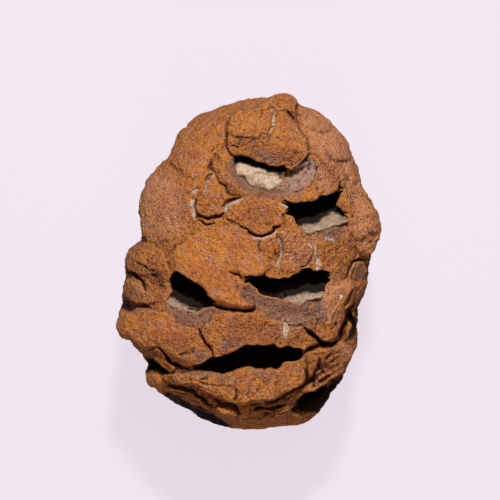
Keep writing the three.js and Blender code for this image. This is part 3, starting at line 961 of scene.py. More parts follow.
# Rounded ridges: width, height, line.
RIDGES: tuple[tuple[float, float, Outline], ...] = (
    (1.1, 0.45, ((-3.2, 12.9), (-3.5, 11.4), (-3, 10.4), (-2, 9.4), (-0.8, 8.6), (0.6, 8))),
    (0.4, 0.45, ((2, -17.3), (3.6, -16.8), (5.2, -16.4), (6.6, -15.9))),
    (0.45, 0.7, ((7.2, -15.5), (7.6, -15.6), (9.3, -14.4), (11, -13.4))),
    (0.7, 0.35, ((12.6, -3.3), (11.6, -4.6), (10.6, -6), (9.6, -7.2))),
    (0.5, 0.3, ((13.4, -2.8), (12.8, -4.2), (12.4, -5.6))),
    (0.4, 0.7, ((11.3, -9.1), (11.8, -8.2), (12.2, -7.2), (12.5, -6.2))),
    (0.35, 0.5, ((-9.6, -15.5), (-7.8, -15.9), (-6.2, -16.6), (-5, -17.2))),
)

# The front of the slab at the top: its outline, the ledge that it falls away from, and how much it falls for
# each millimetre at two places along X.
SLAB_FRONT: Outline = (
    (-3, 15.1), (0, 14.9), (2.2, 14.9), (4.4, 14.2), (6.8, 13.4), (7.3, 12.7), (4.8, 10.8), (-1.4, 12.1),
    (-2.4, 12.8),
)
SLAB_LEDGE: Outline = ((-3, 15), (2.2, 14.9), (4.4, 14.1), (7.3, 12.8))
SLAB_FALL: Outline = ((3.2, 0.29), (6.2, 0.6))


@dataclass
class FaceRelief:
    """The relief of the cone's face.

    Attributes:
        plan: The plan that it is drawn on.
        coats: The sheets of the coats that lie on it, by name.
        craze_cells: How many cells the fine cracks part the face into.
    """

    plan: Plan
    coats: dict[str, Array] = field(default_factory=dict)
    craze_cells: int = 260

    def slab_front(self) -> None:
        """Let the slab at the top fall away below its ledge, towards the upper socket."""
        view, depth = self.plan.depth_inside(SLAB_FRONT, 1.0)
        across, along = self.plan.across[view], self.plan.along[view]
        drop = np.clip(np.interp(across, *np.array(SLAB_LEDGE).T) - along, 0.0, 2.4)
        fall = np.interp(across, *np.array(SLAB_FALL).T)
        self.plan.height[view] -= fall * drop * ease(0.0, 0.3, depth)

    def layers(self) -> None:
        """Cut the stripes of the layered wood, each between its neighbours."""
        for count, width, depth, first, last in LAYERS:
            start, end = np.array(first), np.array(last)
            for step in range(count):
                share = step / max(count - 1, 1)
                line = start * (1.0 - share) + end * share
                self.plan.crack(tuple(map(tuple, line)), width, depth)
                # The stripe is also drawn on the crack sheet, as painted shade.
                self.plan.stroke(self.coats["crack"], line, 0.8 * width, 0.5)

    def fine_cracks(self) -> None:
        """Craze the face with fine cracks that come and go."""
        plan = self.plan
        rng = np.random.default_rng(41)
        seeds = rng.uniform((plan.x[0], plan.y[0]), (plan.x[-1], plan.y[-1]), size=(self.craze_cells, 2))
        across = plan.across + 0.4 * plane_noise(plan.x, plan.y, 1.3, 47)
        along = plan.along + 0.4 * plane_noise(plan.x, plan.y, 1.3, 48)
        first = np.full(plan.height.shape, 99.0, dtype=np.float32)
        second = first.copy()
        for seed_x, seed_y in seeds:
            distance = np.hypot(across - seed_x, along - seed_y)
            second = np.minimum(second, np.maximum(first, distance))
            first = np.minimum(first, distance)
        strength = ease(0.2, 1.2, plane_noise(plan.x, plan.y, 2.6, 42)) * (1.0 - self.coats["smooth"])
        strength *= ease(-0.3, 0.5, plane_noise(plan.x, plan.y, 0.9, 49)) * ease(9.5, 8.0, plan.across)
        line = strength * ease(0.16, 0.04, second - first)
        plan.height -= 0.3 * line
        # The fine cracks are also drawn on the crack sheet, as painted shade.
        self.coats["crack"] = np.maximum(self.coats["crack"], 0.6 * line)

    def flakes(self) -> None:
        """Lay thin ragged flakes over one another, each with its broken edge towards the stalk end."""
        plan = self.plan
        climb = -0.33 * plan.along + 0.1 * plan.across
        climb += 0.75 * plane_noise(plan.x, plan.y, 2.8, 43) + 0.35 * plane_noise(plan.x, plan.y, 1.1, 44)
        climb += 0.12 * plane_noise(plan.x, plan.y, 0.45, 45)
        rise = climb - np.floor(climb)
        strength = 0.2 * ease(-0.4, 1.4, plane_noise(plan.x, plan.y, 3.1, 46))
        middle = ease(0.85, 0.5, (plan.across / 15.0) ** 2 + (plan.along / 19.0) ** 2)
        strength *= middle * (1.0 - self.coats["smooth"]) * (1.0 - self.coats["film"])
        plan.height += strength * (rise * ease(1.0, 0.93, rise) - 0.5)

    def build(self) -> Array:
        """Draw the whole relief.

        Returns:
            The height of the relief over the plan.
        """
        plan = self.plan
        self.coats = Coats(plan).build()
        for lift, bevel, crown, outline in PLATES:
            plan.plate(outline, lift, bevel, crown)
        self.slab_front()
        for rise, still, soft, outline in TILTS:
            plan.tilt(outline, rise, still, soft)
        for depth, slope, outline in BREAKS:
            plan.dish(outline, depth, slope)
        for width, height, line in RIDGES:
            plan.ridge(line, width, height)
        for socket in FACE_SOCKETS:
            if socket.dish:
                plan.dish(socket.dish, socket.dish_depth, socket.dish_slope)
        for width, depth, line in CRACKS:
            plan.crack(line, 0.8 * width, depth)
        self.layers()
        self.flakes()
        self.fine_cracks()
        return plan.height


# Plates whose skin is finer than the rest: how much finer, outline.
SMOOTH: tuple[tuple[float, Outline], ...] = (
    (1, ((8.8, -2.3), (11.2, -2.1), (12.6, -3.2), (11.2, -5.6), (9.8, -7.4), (9.2, -7), (9.2, -5.2),
     (9, -3.8))),
    (1, ((10.9, -9.8), (12, -9.6), (12.8, -10.6), (12, -12), (11, -11.8))),
    (0.8, ((-9.2, -1), (-9, 1.5), (-7.6, 2.6), (-5.5, 4), (-1, 3.8), (1.7, 0.8), (2.4, -1), (-0.7, -1.9),
     (-0.2, -4.3), (0.4, -5.4), (-4, -5.3), (-5.7, -3.3))),
    (0.7, ((-15, -7.5), (-14, -6.2), (-9.5, -6.2), (-6.6, -8), (-6.4, -9.6), (-11, -9.6))),
    (0.5, ((-9.2, 14.6), (-6, 16.6), (-3.4, 17.2), (-3.2, 14.2), (-5, 12.2), (-5.4, 9.6), (-8, 8), (-13, 8))),
    (0.4, ((-2.3, 15.1), (1.8, 15.1), (2.4, 17.6), (-1.8, 17.4))),
    (0.4, ((3.3, 14.8), (6.2, 13.6), (6.4, 15.2), (3.6, 17.6))),
    (0.75, ((6.4, 18.6), (8.8, 18.6), (11.6, 16), (13.6, 12), (14.4, 9), (12.4, 8.6), (10.4, 11), (8.4, 13.2),
     (6.8, 15.4))),
    (0.7, ((-13.6, 3.4), (-9.8, 2.6), (-7.6, 4.6), (-7.6, 8.6), (-9, 11), (-12.4, 10.2), (-13.8, 7))),
)

# Thin grey-purple film round the sockets.
FILM: tuple[Outline, ...] = (
    ((-2.5, 11), (-2.1, 12.2), (-1.4, 12.6), (-1.2, 10.8), (-0.2, 9.7), (0.5, 8.9), (4, 9.2), (4.9, 11),
     (7.4, 12.6), (8.2, 11.7), (8.1, 10.6), (7.2, 9.4), (6.2, 8.5), (5, 7.9), (3.2, 7.6), (0.8, 7.7),
     (-1.4, 9), (-2.4, 10.1)),
    ((8.6, 3.2), (9.2, 4.4), (10.5, 4.8), (11.8, 4.7), (12.2, 3.6), (11.2, 2.7), (10.2, 2.2), (9.2, 2.5)),
    ((-9.6, -5.3), (-8.6, -5.6), (-6, -6), (-4.2, -5.9), (-3.3, -6.4), (-5, -7.6), (-6.3, -8), (-8.4, -7.8),
     (-9.6, -6.8)),
    ((-1, -2.6), (1, -2.9), (2, -3.8), (3, -4.3), (4.5, -4.7), (6, -5.1), (6.8, -4.5), (8.9, -4.1), (9.5, -5),
     (9.5, -6.4), (8.8, -7.5), (7, -7.8), (5, -7.6), (2.8, -7.1), (1.6, -6.2), (0.4, -5.1), (-0.4, -4.2),
     (-1, -3.4)),
    ((1, -13.1), (3.3, -13), (3.5, -13.7), (2, -14), (0.6, -13.7)),
    ((-8.6, -12.8), (-6, -12.8), (-4.4, -13.1), (-4.8, -13.7), (-7, -13.6)),
    ((12.4, -0.9), (13.9, -0.5), (14.2, -2), (13.2, -2.4)),
    ((0.6, 13.2), (2, 13.5), (3.8, 13), (4.2, 12.2), (3.2, 11.9), (1.6, 12.4)),
    ((-3.2, -9.5), (-1.2, -9.3), (-0.6, -9.8), (-2.2, -10.3), (-3.6, -10.6)),
    ((-6.5, -10.6), (-5.6, -10.2), (-5, -11.2), (-5.8, -11.9), (-6.4, -11.4)),
    ((-4.2, -13.2), (-3.2, -13.7), (-2, -13.5), (-2.2, -14.3), (-3.4, -14.5), (-4.2, -14)),
)

# Pale sediment caught in cracks: width, line.
VEINS: tuple[tuple[float, Outline], ...] = (
    (0.2, ((2.95, 17.6), (3.05, 17), (2.95, 16), (2.7, 15.3))),
    (0.36, ((-6.7, 7.2), (-6.65, 6.2), (-6.5, 5.4))),
    (0.28, ((-2.9, 6.1), (-2.6, 6.7), (-2.2, 7.1), (-1.5, 7.4), (-1, 7.65))),
    (0.2, ((-5.5, 8.3), (-5.35, 9), (-4.95, 9.5), (-4.3, 10.1))),
    (0.3, ((-6.7, 8.2), (-6.4, 8.4))),
    (0.2, ((0.4, 2.85), (1.6, 2.75), (2.6, 3), (3.2, 3.5))),
    (0.22, ((3.55, 2.5), (3.8, 2), (3.9, 1.4), (3.75, 0.7), (3.5, 0), (3.4, -0.7))),
    (0.2, ((7.9, 2.2), (7.75, 1.5), (7.85, 0.8), (8.05, 0.2), (8.1, -0.8))),
    (0.3, ((3.9, 7.1), (4.8, 6.5), (5.4, 6.25))),
    (0.2, ((9.2, 2.9), (10, 2.6), (10.3, 2.3))),
    (0.16, ((7.1, 2.5), (7.5, 1.9), (7.75, 1.5))),
    (0.16, ((8, 0.3), (8.4, -0.3), (8.3, -0.9))),
    (0.3, ((6.9, -0.9), (6.7, -1.2))),
)

# A painted glint where a crystal catches the light: width, line.
GLINTS: tuple[tuple[float, Outline], ...] = (
    (0.24, ((11.15, -4.1), (11.2, -4.2))),
)

# Dust of sediment on the rock round the fillings.
DUST: tuple[Outline, ...] = (
    ((-1.7, 11.6), (-1, 12), (4.8, 11.2), (4.4, 9.9), (3.6, 8.9), (0.4, 8.8), (-0.8, 9.7), (-1.6, 10.8)),
    ((6, 4.3), (9, 5.6), (10.4, 6.2), (12.5, 5), (11, 4.3), (9.2, 3.9), (8.3, 2.9), (7.2, 3.3)),
    ((-10.1, -5.1), (-8.9, -4.1), (-5.6, -5.9), (-6, -6.5), (-9.2, -5.9)),
    ((4.6, -4.8), (6.4, -3.5), (9.2, -3.5), (9.1, -4.2), (7, -4.6), (6.2, -5.3)),
    ((3.9, -7.6), (4.8, -7.5), (5.1, -8.3), (4.7, -9.4), (4, -9.4)),
)

# Painted shadow: the hollows and undersides that lie in shadow, painted nearly black.
PAINTED_SHADOWS: tuple[Outline, ...] = (
    ((-15.5, -5), (-14.8, -5), (-13.9, -5.8), (-13.9, -6.3), (-14.5, -6), (-15.5, -5.5)),
    ((-12.6, -11.6), (-11.6, -11.4), (-11.2, -12.2), (-9.4, -13.4), (-10.4, -13.7), (-11.3, -13.2),
     (-12.7, -13)),
    ((-1.9, 12), (-1.7, 12.6), (-0.9, 12.7), (0.4, 12.4), (1.6, 12.1), (3, 11.6), (4.2, 11.3), (4.6, 11),
     (3.2, 11), (1.8, 11.4), (0.4, 11.7), (-0.8, 11.9)),
    ((5, -17.5), (6.6, -16.1), (7.2, -15.8), (8.6, -15.4), (9.9, -14.3), (10.9, -13.8), (12.6, -12.7),
     (12.6, -15.5), (10.4, -18), (8.8, -18.3), (7.3, -18.4), (5.5, -18.4)),
    ((-12.4, -15.4), (-10.6, -15.8), (-9.3, -16.3), (-7.4, -17), (-5.6, -17.6), (-4.6, -18.2), (-3.6, -19.1),
     (-2.6, -19.5), (-2.6, -20.4), (-6, -20.4), (-12, -17)),
    ((13.1, -5.3), (12.9, -6.6), (12.6, -7.8), (12.4, -9), (12.9, -9.8), (15, -9.8), (15, -5)),
)

# Darker, browner stains; the fifth, under the lip at the lower left, is painted shade.
STAINS_AND_SHADE: tuple[Outline, ...] = (
    ((-2.4, -6.9), (1.6, -7.4), (4.2, -7.8), (6.8, -8.6), (6.4, -10.4), (3.4, -10.6), (0, -9.6),
     (-2.6, -9.4)),
    ((-0.6, 7), (1.6, 6.8), (3.2, 5.6), (2.6, 4.4), (0.6, 4.2), (-0.8, 5.4)),
    ((-10.2, -8.4), (-8, -8.2), (-6.4, -9.8), (-6.6, -11.2), (-8.8, -10.8), (-10.4, -9.8)),
    ((-2.3, 14.8), (2, 14.8), (6.8, 13.2), (4.7, 11.4), (-1.3, 12.9)),
    ((-12.4, -15.8), (-8, -16.8), (-4, -18.2), (-2, -19), (-6, -20.5), (-11, -17)),
    ((-14, 0.4), (-11.8, -0.4), (-9.5, -1.8), (-9.6, -3.6), (-11.6, -3), (-13.6, -1.8)),
    ((-13.6, -10.2), (-11.6, -10.8), (-11.2, -12), (-11.6, -13), (-13.4, -11.4)),
)

# Paler, greyer lobes.
PALE: tuple[Outline, ...] = (
    ((6.6, 18.9), (8.8, 18), (11.6, 15.2), (13.4, 11), (14.6, 7.6), (12, 8), (9.6, 11.2), (7.6, 13.4),
     (6.4, 16)),
    ((-14, 9), (-11, 11.2), (-8, 9), (-7.4, 5), (-9, 2.6), (-13.4, 3)),
    ((4.2, -7.3), (6.6, -7.4), (7.2, -8.5), (5.4, -9.6), (2.4, -9), (2.6, -7.6)),
    ((4.4, 3), (7.4, 2.6), (7.2, 0.4), (5.4, -0.8), (4.2, 0.4)),
    ((5, 11.2), (6.4, 12.2), (8, 12.2), (8, 10.6), (6.6, 8.9), (4.8, 8.2), (4.4, 9.4)),
    ((7.6, 10), (9, 8.4), (10.8, 9), (9.8, 10.8), (8.6, 12.2), (7.8, 11.2)),
    ((12.2, 8), (14.6, 7.4), (15.8, 4.6), (15.2, 1.4), (13.2, 0.8), (12.6, 3.6), (12.8, 5.6)),
    ((8.9, -2.2), (11.4, -2), (12.6, -3.2), (11, -5.6), (9.6, -7.4), (9.3, -5.2), (9, -3.6)),
    ((10.7, -10.1), (11.8, -10), (12.4, -11), (11.8, -12), (10.9, -11.4)),
    ((-13.8, -1.8), (-12.6, -2.6), (-12.8, -4), (-14.4, -4.2)),
)


@dataclass
class Coats:
    """The thin coats on the cone's face, each a sheet of strengths over the plan; among them are sheets of
    painted shadow, painted shade in the cracks and a painted glint.
    """

    plan: Plan

    def build(self) -> dict[str, Array]:
        """Lay every coat.

        Returns:
            The sheets by the name of their coat.
        """
        names = ("film", "dust", "vein", "stain_and_shade", "pale", "smooth", "crack", "painted_shadow", "glint")
        coats = {name: np.zeros(self.plan.height.shape, dtype=np.float32) for name in names}
        # Real coats, and the painted shadow over the hollows that lie in shadow.
        flat = {
            "film": (FILM, 1.0, 1.0), "dust": (DUST, 0.7, 0.9), "stain_and_shade": (STAINS_AND_SHADE, 1.6, 1.0),
            "pale": (PALE, 2.2, 1.0), "painted_shadow": (PAINTED_SHADOWS, 0.4, 1.0),
        }
        for name, (outlines, edge, strength) in flat.items():
            for outline in outlines:
                self.plan.paint(coats[name], outline, edge, strength)
        for strength, outline in SMOOTH:
            self.plan.paint(coats["smooth"], outline, 1.2, strength)
        for width, line in VEINS:
            self.plan.stroke(coats["vein"], line, 0.9 * width)
        for width, line in GLINTS:
            self.plan.stroke(coats["glint"], line, width)
        # Painted shade along the cracks, stronger where they are deeper.
        for width, depth, line in CRACKS:
            self.plan.stroke(coats["crack"], line, 0.1 + 0.3 * width, min(1.0, 0.3 + depth))
        return coats


# The carved block


@dataclass
class Block:
    """A block of sample points round the cone, and the distance from each to the cone's surface.

    Attributes:
        step: Spacing of the samples.
        low: Its lowest corner.
        high: Its highest corner.
    """

    step: float = BLOCK_STEP
    low: Triple = (-16.9, -21.1, -0.8)
    high: Triple = (16.9, 21.1, 28.3)

    def __post_init__(self) -> None:
        """Lay the samples out along each axis."""
        ends = zip(self.low, self.high)
        self.axes = [np.arange(start, end, self.step, dtype=np.float32) for start, end in ends]
        self.x, self.y, self.z = self.axes
        self.distance = np.zeros([len(axis) for axis in self.axes], dtype=np.float32)

    def box(self, low: Sequence[float], high: Sequence[float]) -> Part:
        """Find the samples between two corners.

        Args:
            low: The lowest corner.
            high: The highest corner.

        Returns:
            The slices along X, Y and Z.
        """
        return tuple(
            slice(int(np.searchsorted(axis, start)), int(np.searchsorted(axis, end)))
            for axis, start, end in zip(self.axes, low, high)
        )

    def points(self, part: Part) -> tuple[Array, Array, Array]:
        """Give the coordinates of the samples in a part, ready to combine."""
        return self.x[part[0]][:, None, None], self.y[part[1]][None, :, None], self.z[part[2]][None, None, :]


def mesh_of_field(distance: Array, low: Sequence[float], step: float) -> tuple[Array, Array]:
    """Draw the surface where a block of distances is zero.

    Args:
        distance: Distances, negative inside.
        low: Position of the first sample.
        step: Spacing of the samples.

    Returns:
        The surface's points, and its four-sided faces as indices with their fronts outwards.
    """
    limit = 4.0 * step
    grid = openvdb.FloatGrid(limit)
    grid.copyFromArray(np.clip(distance, -limit, limit))
    points, _, quads = grid.convertToPolygons(isovalue=0.0, adaptivity=0.0)
    points = np.asarray(points, dtype=np.float64) * step + np.asarray(low)
    quads = np.asarray(quads, dtype=np.int64)
    corner = points[quads]
    fan = np.cross(corner[:, 2] - corner[:, 0], corner[:, 3] - corner[:, 1])
    volume = np.einsum("ij,ij->", corner.mean(axis=1), fan)
    return points, quads if volume > 0 else quads[:, ::-1]


def object_of_mesh(name: str, points: Array, faces: Array) -> bpy.types.Object:
    """Make a Blender object in metres.

    Args:
        name: Its name.
        points: Its points, in millimetres.
        faces: Its four-sided faces, as indices.

    Returns:
        The object, which is in the scene.
    """
    mesh = bpy.data.meshes.new(name)
    mesh.vertices.add(len(points))
    mesh.vertices.foreach_set("co", (points * METRES).astype(np.float32).ravel())
    mesh.loops.add(faces.size)
    mesh.loops.foreach_set("vertex_index", faces.astype(np.int32).ravel())
    mesh.polygons.add(len(faces))
    mesh.polygons.foreach_set("loop_start", np.arange(0, faces.size, faces.shape[1], dtype=np.int32))
    mesh.update(calc_edges=True)
    mesh.validate()
    result = bpy.data.objects.new(name, mesh)
    bpy.context.scene.collection.objects.link(result)
    return result


def keep_largest(points: Array, faces: Array) -> tuple[Array, Array]:
    """Keep only the largest connected part of a mesh.

    Args:
        points: Its points.
        faces: Its faces, as indices.

    Returns:
        The points and faces of that part.
    """
    parent = np.arange(len(points))
    edges = np.concatenate([faces[:, [i, (i + 1) % faces.shape[1]]] for i in range(faces.shape[1])])
    while True:
        lowest = np.minimum(parent[edges[:, 0]], parent[edges[:, 1]])
        before = parent.copy()
        np.minimum.at(parent, edges[:, 0], lowest)
        np.minimum.at(parent, edges[:, 1], lowest)
        parent = parent[parent]
        if np.array_equal(parent, before):
            break
    label, count = np.unique(parent, return_counts=True)
    keep = parent == label[count.argmax()]
    number = np.cumsum(keep) - 1
    return points[keep], number[faces[keep[faces[:, 0]]]]


def applied(target: bpy.types.Object) -> None:
    """Bake an object's modifiers into its mesh and remove them.

    Args:
        target: The object.
    """
    graph = bpy.context.evaluated_depsgraph_get()
    finished = bpy.data.meshes.new_from_object(target.evaluated_get(graph))
    target.modifiers.clear()
    old = target.data
    finished.name = target.name
    target.data = finished
    bpy.data.meshes.remove(old)


def vertex_arrays(mesh: bpy.types.Mesh) -> tuple[Array, Array]:
    """Read a mesh's points.

    Args:
        mesh: The mesh.

    Returns:
        The points in millimetres, and the normals at them.
    """
    points = np.empty(len(mesh.vertices) * 3, dtype=np.float32)
    normals = np.empty_like(points)
    mesh.vertices.foreach_get("co", points)
    mesh.vertex_normals.foreach_get("vector", normals)
    return points.reshape(-1, 3) / METRES, normals.reshape(-1, 3)


def store(mesh: bpy.types.Mesh, name: str, values: Array) -> None:
    """Keep a number for each point of a mesh under a name that materials can read."""
    layer = mesh.attributes.new(name, "FLOAT", "POINT")
    layer.data.foreach_set("value", values.astype(np.float32))


def hollowness(mesh: bpy.types.Mesh, rounds: int) -> Array:
    """Measure how far each point lies below its surroundings.

    Args:
        mesh: The mesh.
        rounds: How many steps of smoothing the surroundings are taken over.

    Returns:
        The depth in millimetres, negative on ridges.
    """
    points, normals = vertex_arrays(mesh)
    edges = np.empty(len(mesh.edges) * 2, dtype=np.int32)
    mesh.edges.foreach_get("vertices", edges)
    first, second = edges.reshape(-1, 2).T
    count = np.bincount(edges, minlength=len(points)).astype(np.float32)
    smooth = points.copy()
    for _ in range(rounds):
        total = [
            np.bincount(first, axis[second], len(points)) + np.bincount(second, axis[first], len(points))
            for axis in smooth.T
        ]
        smooth = (np.stack(total, axis=1) / count[:, None]).astype(np.float32)
    return np.einsum("ij,ij->i", smooth - points, normals)


# Materials


def new_node(tree: bpy.types.NodeTree, kind: str, settings: Values, sockets: Values) -> bpy.types.Node:
    """Add a node to a tree.

    Args:
        tree: The tree.
        kind: The node's type.
        settings: Its properties, which are set first.
        sockets: Values for its inputs, or sockets to link to them, by name or number.

    Returns:
        The node.
    """
    node = tree.nodes.new(kind)
    for name, value in settings.items():
        setattr(node, name, value)
    for key, value in sockets.items():
        if isinstance(value, bpy.types.NodeSocket):
            tree.links.new(value, node.inputs[key])
        else:
            node.inputs[key].default_value = value
    return node


class Wire:
    """A shader socket that can be used in sums."""

    def __init__(self, nodes: "NodeBook", socket: bpy.types.NodeSocket) -> None:
        """Wrap a socket of a node tree."""
        self.nodes = nodes
        self.socket = socket

    def maths(self, operation: str, first: Any, second: Any) -> "Wire":
        """Add a Math node over two values."""
        return self.nodes.add("ShaderNodeMath", {"operation": operation}, {0: first, 1: second})

    def __add__(self, other: Any) -> "Wire":
        """Add."""
        return self.maths("ADD", self, other)

    def __radd__(self, other: Any) -> "Wire":
        """Add, the other way round."""
        return self.maths("ADD", other, self)

    def __sub__(self, other: Any) -> "Wire":
        """Subtract."""
        return self.maths("SUBTRACT", self, other)

    def __rsub__(self, other: Any) -> "Wire":
        """Subtract from something."""
        return self.maths("SUBTRACT", other, self)

    def __mul__(self, other: Any) -> "Wire":
        """Multiply."""
        return self.maths("MULTIPLY", self, other)

    def least(self, other: Any) -> "Wire":
        """Take the smaller of two values."""
        return self.maths("MINIMUM", self, other)

    def most(self, other: Any) -> "Wire":
        """Take the larger of two values."""
        return self.maths("MAXIMUM", self, other)

    def step(self, low: float, high: float) -> "Wire":
        """Ease from 0 at low to 1 at high."""
        settings = {"interpolation_type": "SMOOTHSTEP", "clamp": True}
        return self.nodes.add("ShaderNodeMapRange", settings, {0: self, 1: low, 2: high, 3: 0.0, 4: 1.0})


class NodeBook:
    """Writes the node tree of one material."""

    def __init__(self, name: str) -> None:
        """Start an empty material.

        Args:
            name: The material's name.
        """
        self.material = bpy.data.materials.new(name)
        self.material.use_nodes = True
        self.tree = self.material.node_tree
        self.tree.nodes.clear()

    def add(self, kind: str, settings: Values, sockets: Values, output: Any = 0) -> Wire:
        """Add a node.

        Args:
            kind: The node's type.
            settings: Its properties.
            sockets: Values or wires for its inputs, by name or number.
            output: Name or number of the output to hand back.

        Returns:
            The output.
        """
        ends = {key: value.socket if isinstance(value, Wire) else value for key, value in sockets.items()}
        node = new_node(self.tree, kind, settings, ends)
        return Wire(self, node.outputs[output] if len(node.outputs) else None)

    def attribute(self, name: str) -> Wire:
        """Read a number that is stored at the mesh's points."""
        return self.add("ShaderNodeAttribute", {"attribute_name": name}, {}, "Fac")

    def place(self) -> Wire:
        """Read the place on the object, in millimetres."""
        coordinates = self.add("ShaderNodeTexCoord", {}, {}, "Object")
        return self.add("ShaderNodeMapping", {}, {"Vector": coordinates, "Scale": (1.0 / METRES,) * 3})

    def moved(self, place: Wire, shift: float) -> Wire:
        """Move a place by the same length along each axis."""
        return self.add("ShaderNodeVectorMath", {"operation": "ADD"}, {0: place, 1: (shift, shift, shift)})

    def noise(self, place: Wire, size: float, detail: float, rough: float = 0.6, shift: float = 0.0) -> Wire:
        """Add noise whose lumps measure size millimetres."""
        sockets = {"Scale": 1.0 / size, "Detail": detail, "Roughness": rough}
        return self.add("ShaderNodeTexNoise", {}, {"Vector": self.moved(place, shift), **sockets}, "Fac")

    def specks(self, place: Wire, size: float, shift: float) -> Wire:
        """Add cells that measure size millimetres, and give the distance to the middle of each."""
        sockets = {"Vector": self.moved(place, shift), "Scale": 1.0 / size}
        return self.add("ShaderNodeTexVoronoi", {}, sockets, "Distance")

    def blend(self, share: Any, first: Any, second: Any, mode: str = "MIX") -> Wire:
        """Mix two colours.

        Args:
            share: How much of the second there is.
            first: The first colour.
            second: The second colour.
            mode: The way of mixing.

        Returns:
            The mixed colour.
        """
        settings = {"data_type": "RGBA", "blend_type": mode, "clamp_factor": True}
        values = {0: share, 6: colour(first), 7: colour(second)}
        return self.add("ShaderNodeMix", settings, values, 2)

    def finish(self, sockets: Values, height: Wire, distance: float, strength: float) -> bpy.types.Material:
        """End the tree in one surface shader.

        Args:
            sockets: Values and wires of the shader.
            height: Height of the fine relief, from 0 to 1.
            distance: How high 1 is, in millimetres.
            strength: How much of it shows.

        Returns:
            The material.
        """
        settings = {"Height": height, "Distance": distance * METRES, "Strength": strength}
        normal = self.add("ShaderNodeBump", {}, settings)
        shader = self.add("ShaderNodeBsdfPrincipled", {}, {**sockets, "Normal": normal})
        self.add("ShaderNodeOutputMaterial", {}, {"Surface": shader})
        return self.material


def colour(value: Any) -> Any:
    """Give a colour its fourth number, or hand a wire back as it is."""
    return value if isinstance(value, Wire) else (*value, 1.0)


@dataclass(frozen=True)
class IronstoneFinish:
    """Rusty, iron-cemented wood with its thin coats."""

    ochre: Triple = (0.57, 0.19, 0.04)
    amber_and_ridge_highlight: Triple = (0.64, 0.265, 0.056)
    red: Triple = (0.46, 0.118, 0.038)
    mauve: Triple = (0.45, 0.195, 0.12)
    blush: Triple = (0.61, 0.285, 0.16)
    fleck: Triple = (0.78, 0.48, 0.3)
    rust: Triple = (0.3, 0.09, 0.035)
    brown: Triple = (0.15, 0.042, 0.018)
    umber_and_crease_shade: Triple = (0.06, 0.024, 0.014)
    # Near black, for painted shade and painted shadow.
    shade_black: Triple = (0.014, 0.0048, 0.003)
    purple: Triple = (0.27, 0.13, 0.094)
    ash: Triple = (0.52, 0.33, 0.265)
    tan: Triple = (0.44, 0.3, 0.19)
    chalk: Triple = (0.74, 0.56, 0.43)
    glint_white: Triple = (0.95, 0.93, 0.9)

    def material(self) -> bpy.types.Material:
        """Build the material, from its broad tones through its coats to the finest grit.

        Returns:
            The material.
        """
        book = NodeBook("ironstone")
        place = book.place()
        broad = book.noise(place, 4.5, 2.0, 0.55)
        patch = book.noise(place, 1.7, 4.0, shift=7.0)
        blotch = book.noise(place, 1.1, 4.0, shift=21.0)
        mottle = book.noise(place, 0.55, 3.0, shift=12.0)
        grain = book.noise(place, 0.3, 3.0, shift=3.0)
        grit = book.noise(place, 0.17, 2.0, shift=5.0)
        hollow, painted_shade, crack, glint = map(book.attribute, ("hollow", "painted_shade", "crack", "glint"))
        film, dust, vein = map(book.attribute, ("film", "dust", "vein"))
        stain_and_shade, pale, smooth = map(book.attribute, ("stain_and_shade", "pale", "smooth"))

        tone = book.blend(mottle.step(0.46, 0.62) * 0.8, self.ochre, self.amber_and_ridge_highlight)
        tone = book.blend(patch.step(0.5, 0.64) * 0.7, tone, self.red)
        tone = book.blend(blotch.step(0.5, 0.64) * 0.75, tone, self.mauve)
        tone = book.blend(mottle.step(0.46, 0.34) * 0.3, tone, self.rust)
        tone = book.blend(pale * (0.35 + mottle.step(0.44, 0.6) * 0.4), tone, self.blush)
        # Broad rust and the stains, which under the lip at the lower left are painted shade.
        tone = book.blend((broad.step(0.52, 0.7) * 0.35 + stain_and_shade * 0.55).least(0.75), tone, self.rust)
        coat = film * (0.7 + blotch.step(0.38, 0.58) * 0.4)
        tone = book.blend(coat.least(0.95), tone, book.blend(pale, self.purple, self.ash))
        tone = book.blend(grain.step(0.47, 0.36) * (0.75 - smooth.most(pale) * 0.25), tone, self.brown)
        tone = book.blend(dust * mottle.step(0.4, 0.56) * 0.8, tone, self.tan)
        # Painted shade in creases and hollows, and a painted highlight on ridges.
        tone = book.blend(hollow.step(0.015, 0.17) * 0.85, tone, self.umber_and_crease_shade)
        tone = book.blend(hollow.step(-0.03, -0.16) * 0.3, tone, self.amber_and_ridge_highlight)
        # Painted shade in the cracks, nearly black.
        tone = book.blend(crack * 0.95, tone, self.shade_black)
        tone = book.blend(vein * mottle.step(0.3, 0.44) * 0.95, tone, self.chalk)
        tone = book.blend(grit.step(0.42, 0.32) * (0.9 - smooth * 0.25), tone, self.umber_and_crease_shade)
        share = (0.15 + patch.step(0.4, 0.56) * 0.35 + pale * 0.2) * (1.0 - smooth * 0.5)
        tone = book.blend(grit.step(0.57, 0.65) * share, tone, self.fleck)
        tone = book.blend(grit.step(0.62, 0.7) * blotch.step(0.5, 0.6) * 0.7, tone, self.chalk)
        # Painted shade and painted shadow: the sockets' depths and the shadowed hollows go nearly black.
        tone = book.blend(painted_shade, tone, self.shade_black)
        # A painted glint where a crystal catches the light.
        tone = book.blend(glint, tone, self.glint_white)
        height = (grain + grit * 0.6 + mottle * 0.6) * (1.0 - smooth * 0.35)
        roughness = 0.78 + grain * 0.2 - film * 0.12
        values = {"Base Color": tone, "Roughness": roughness, "Specular IOR Level": 0.1}
        return book.finish(values, height, 0.5, 1.0)


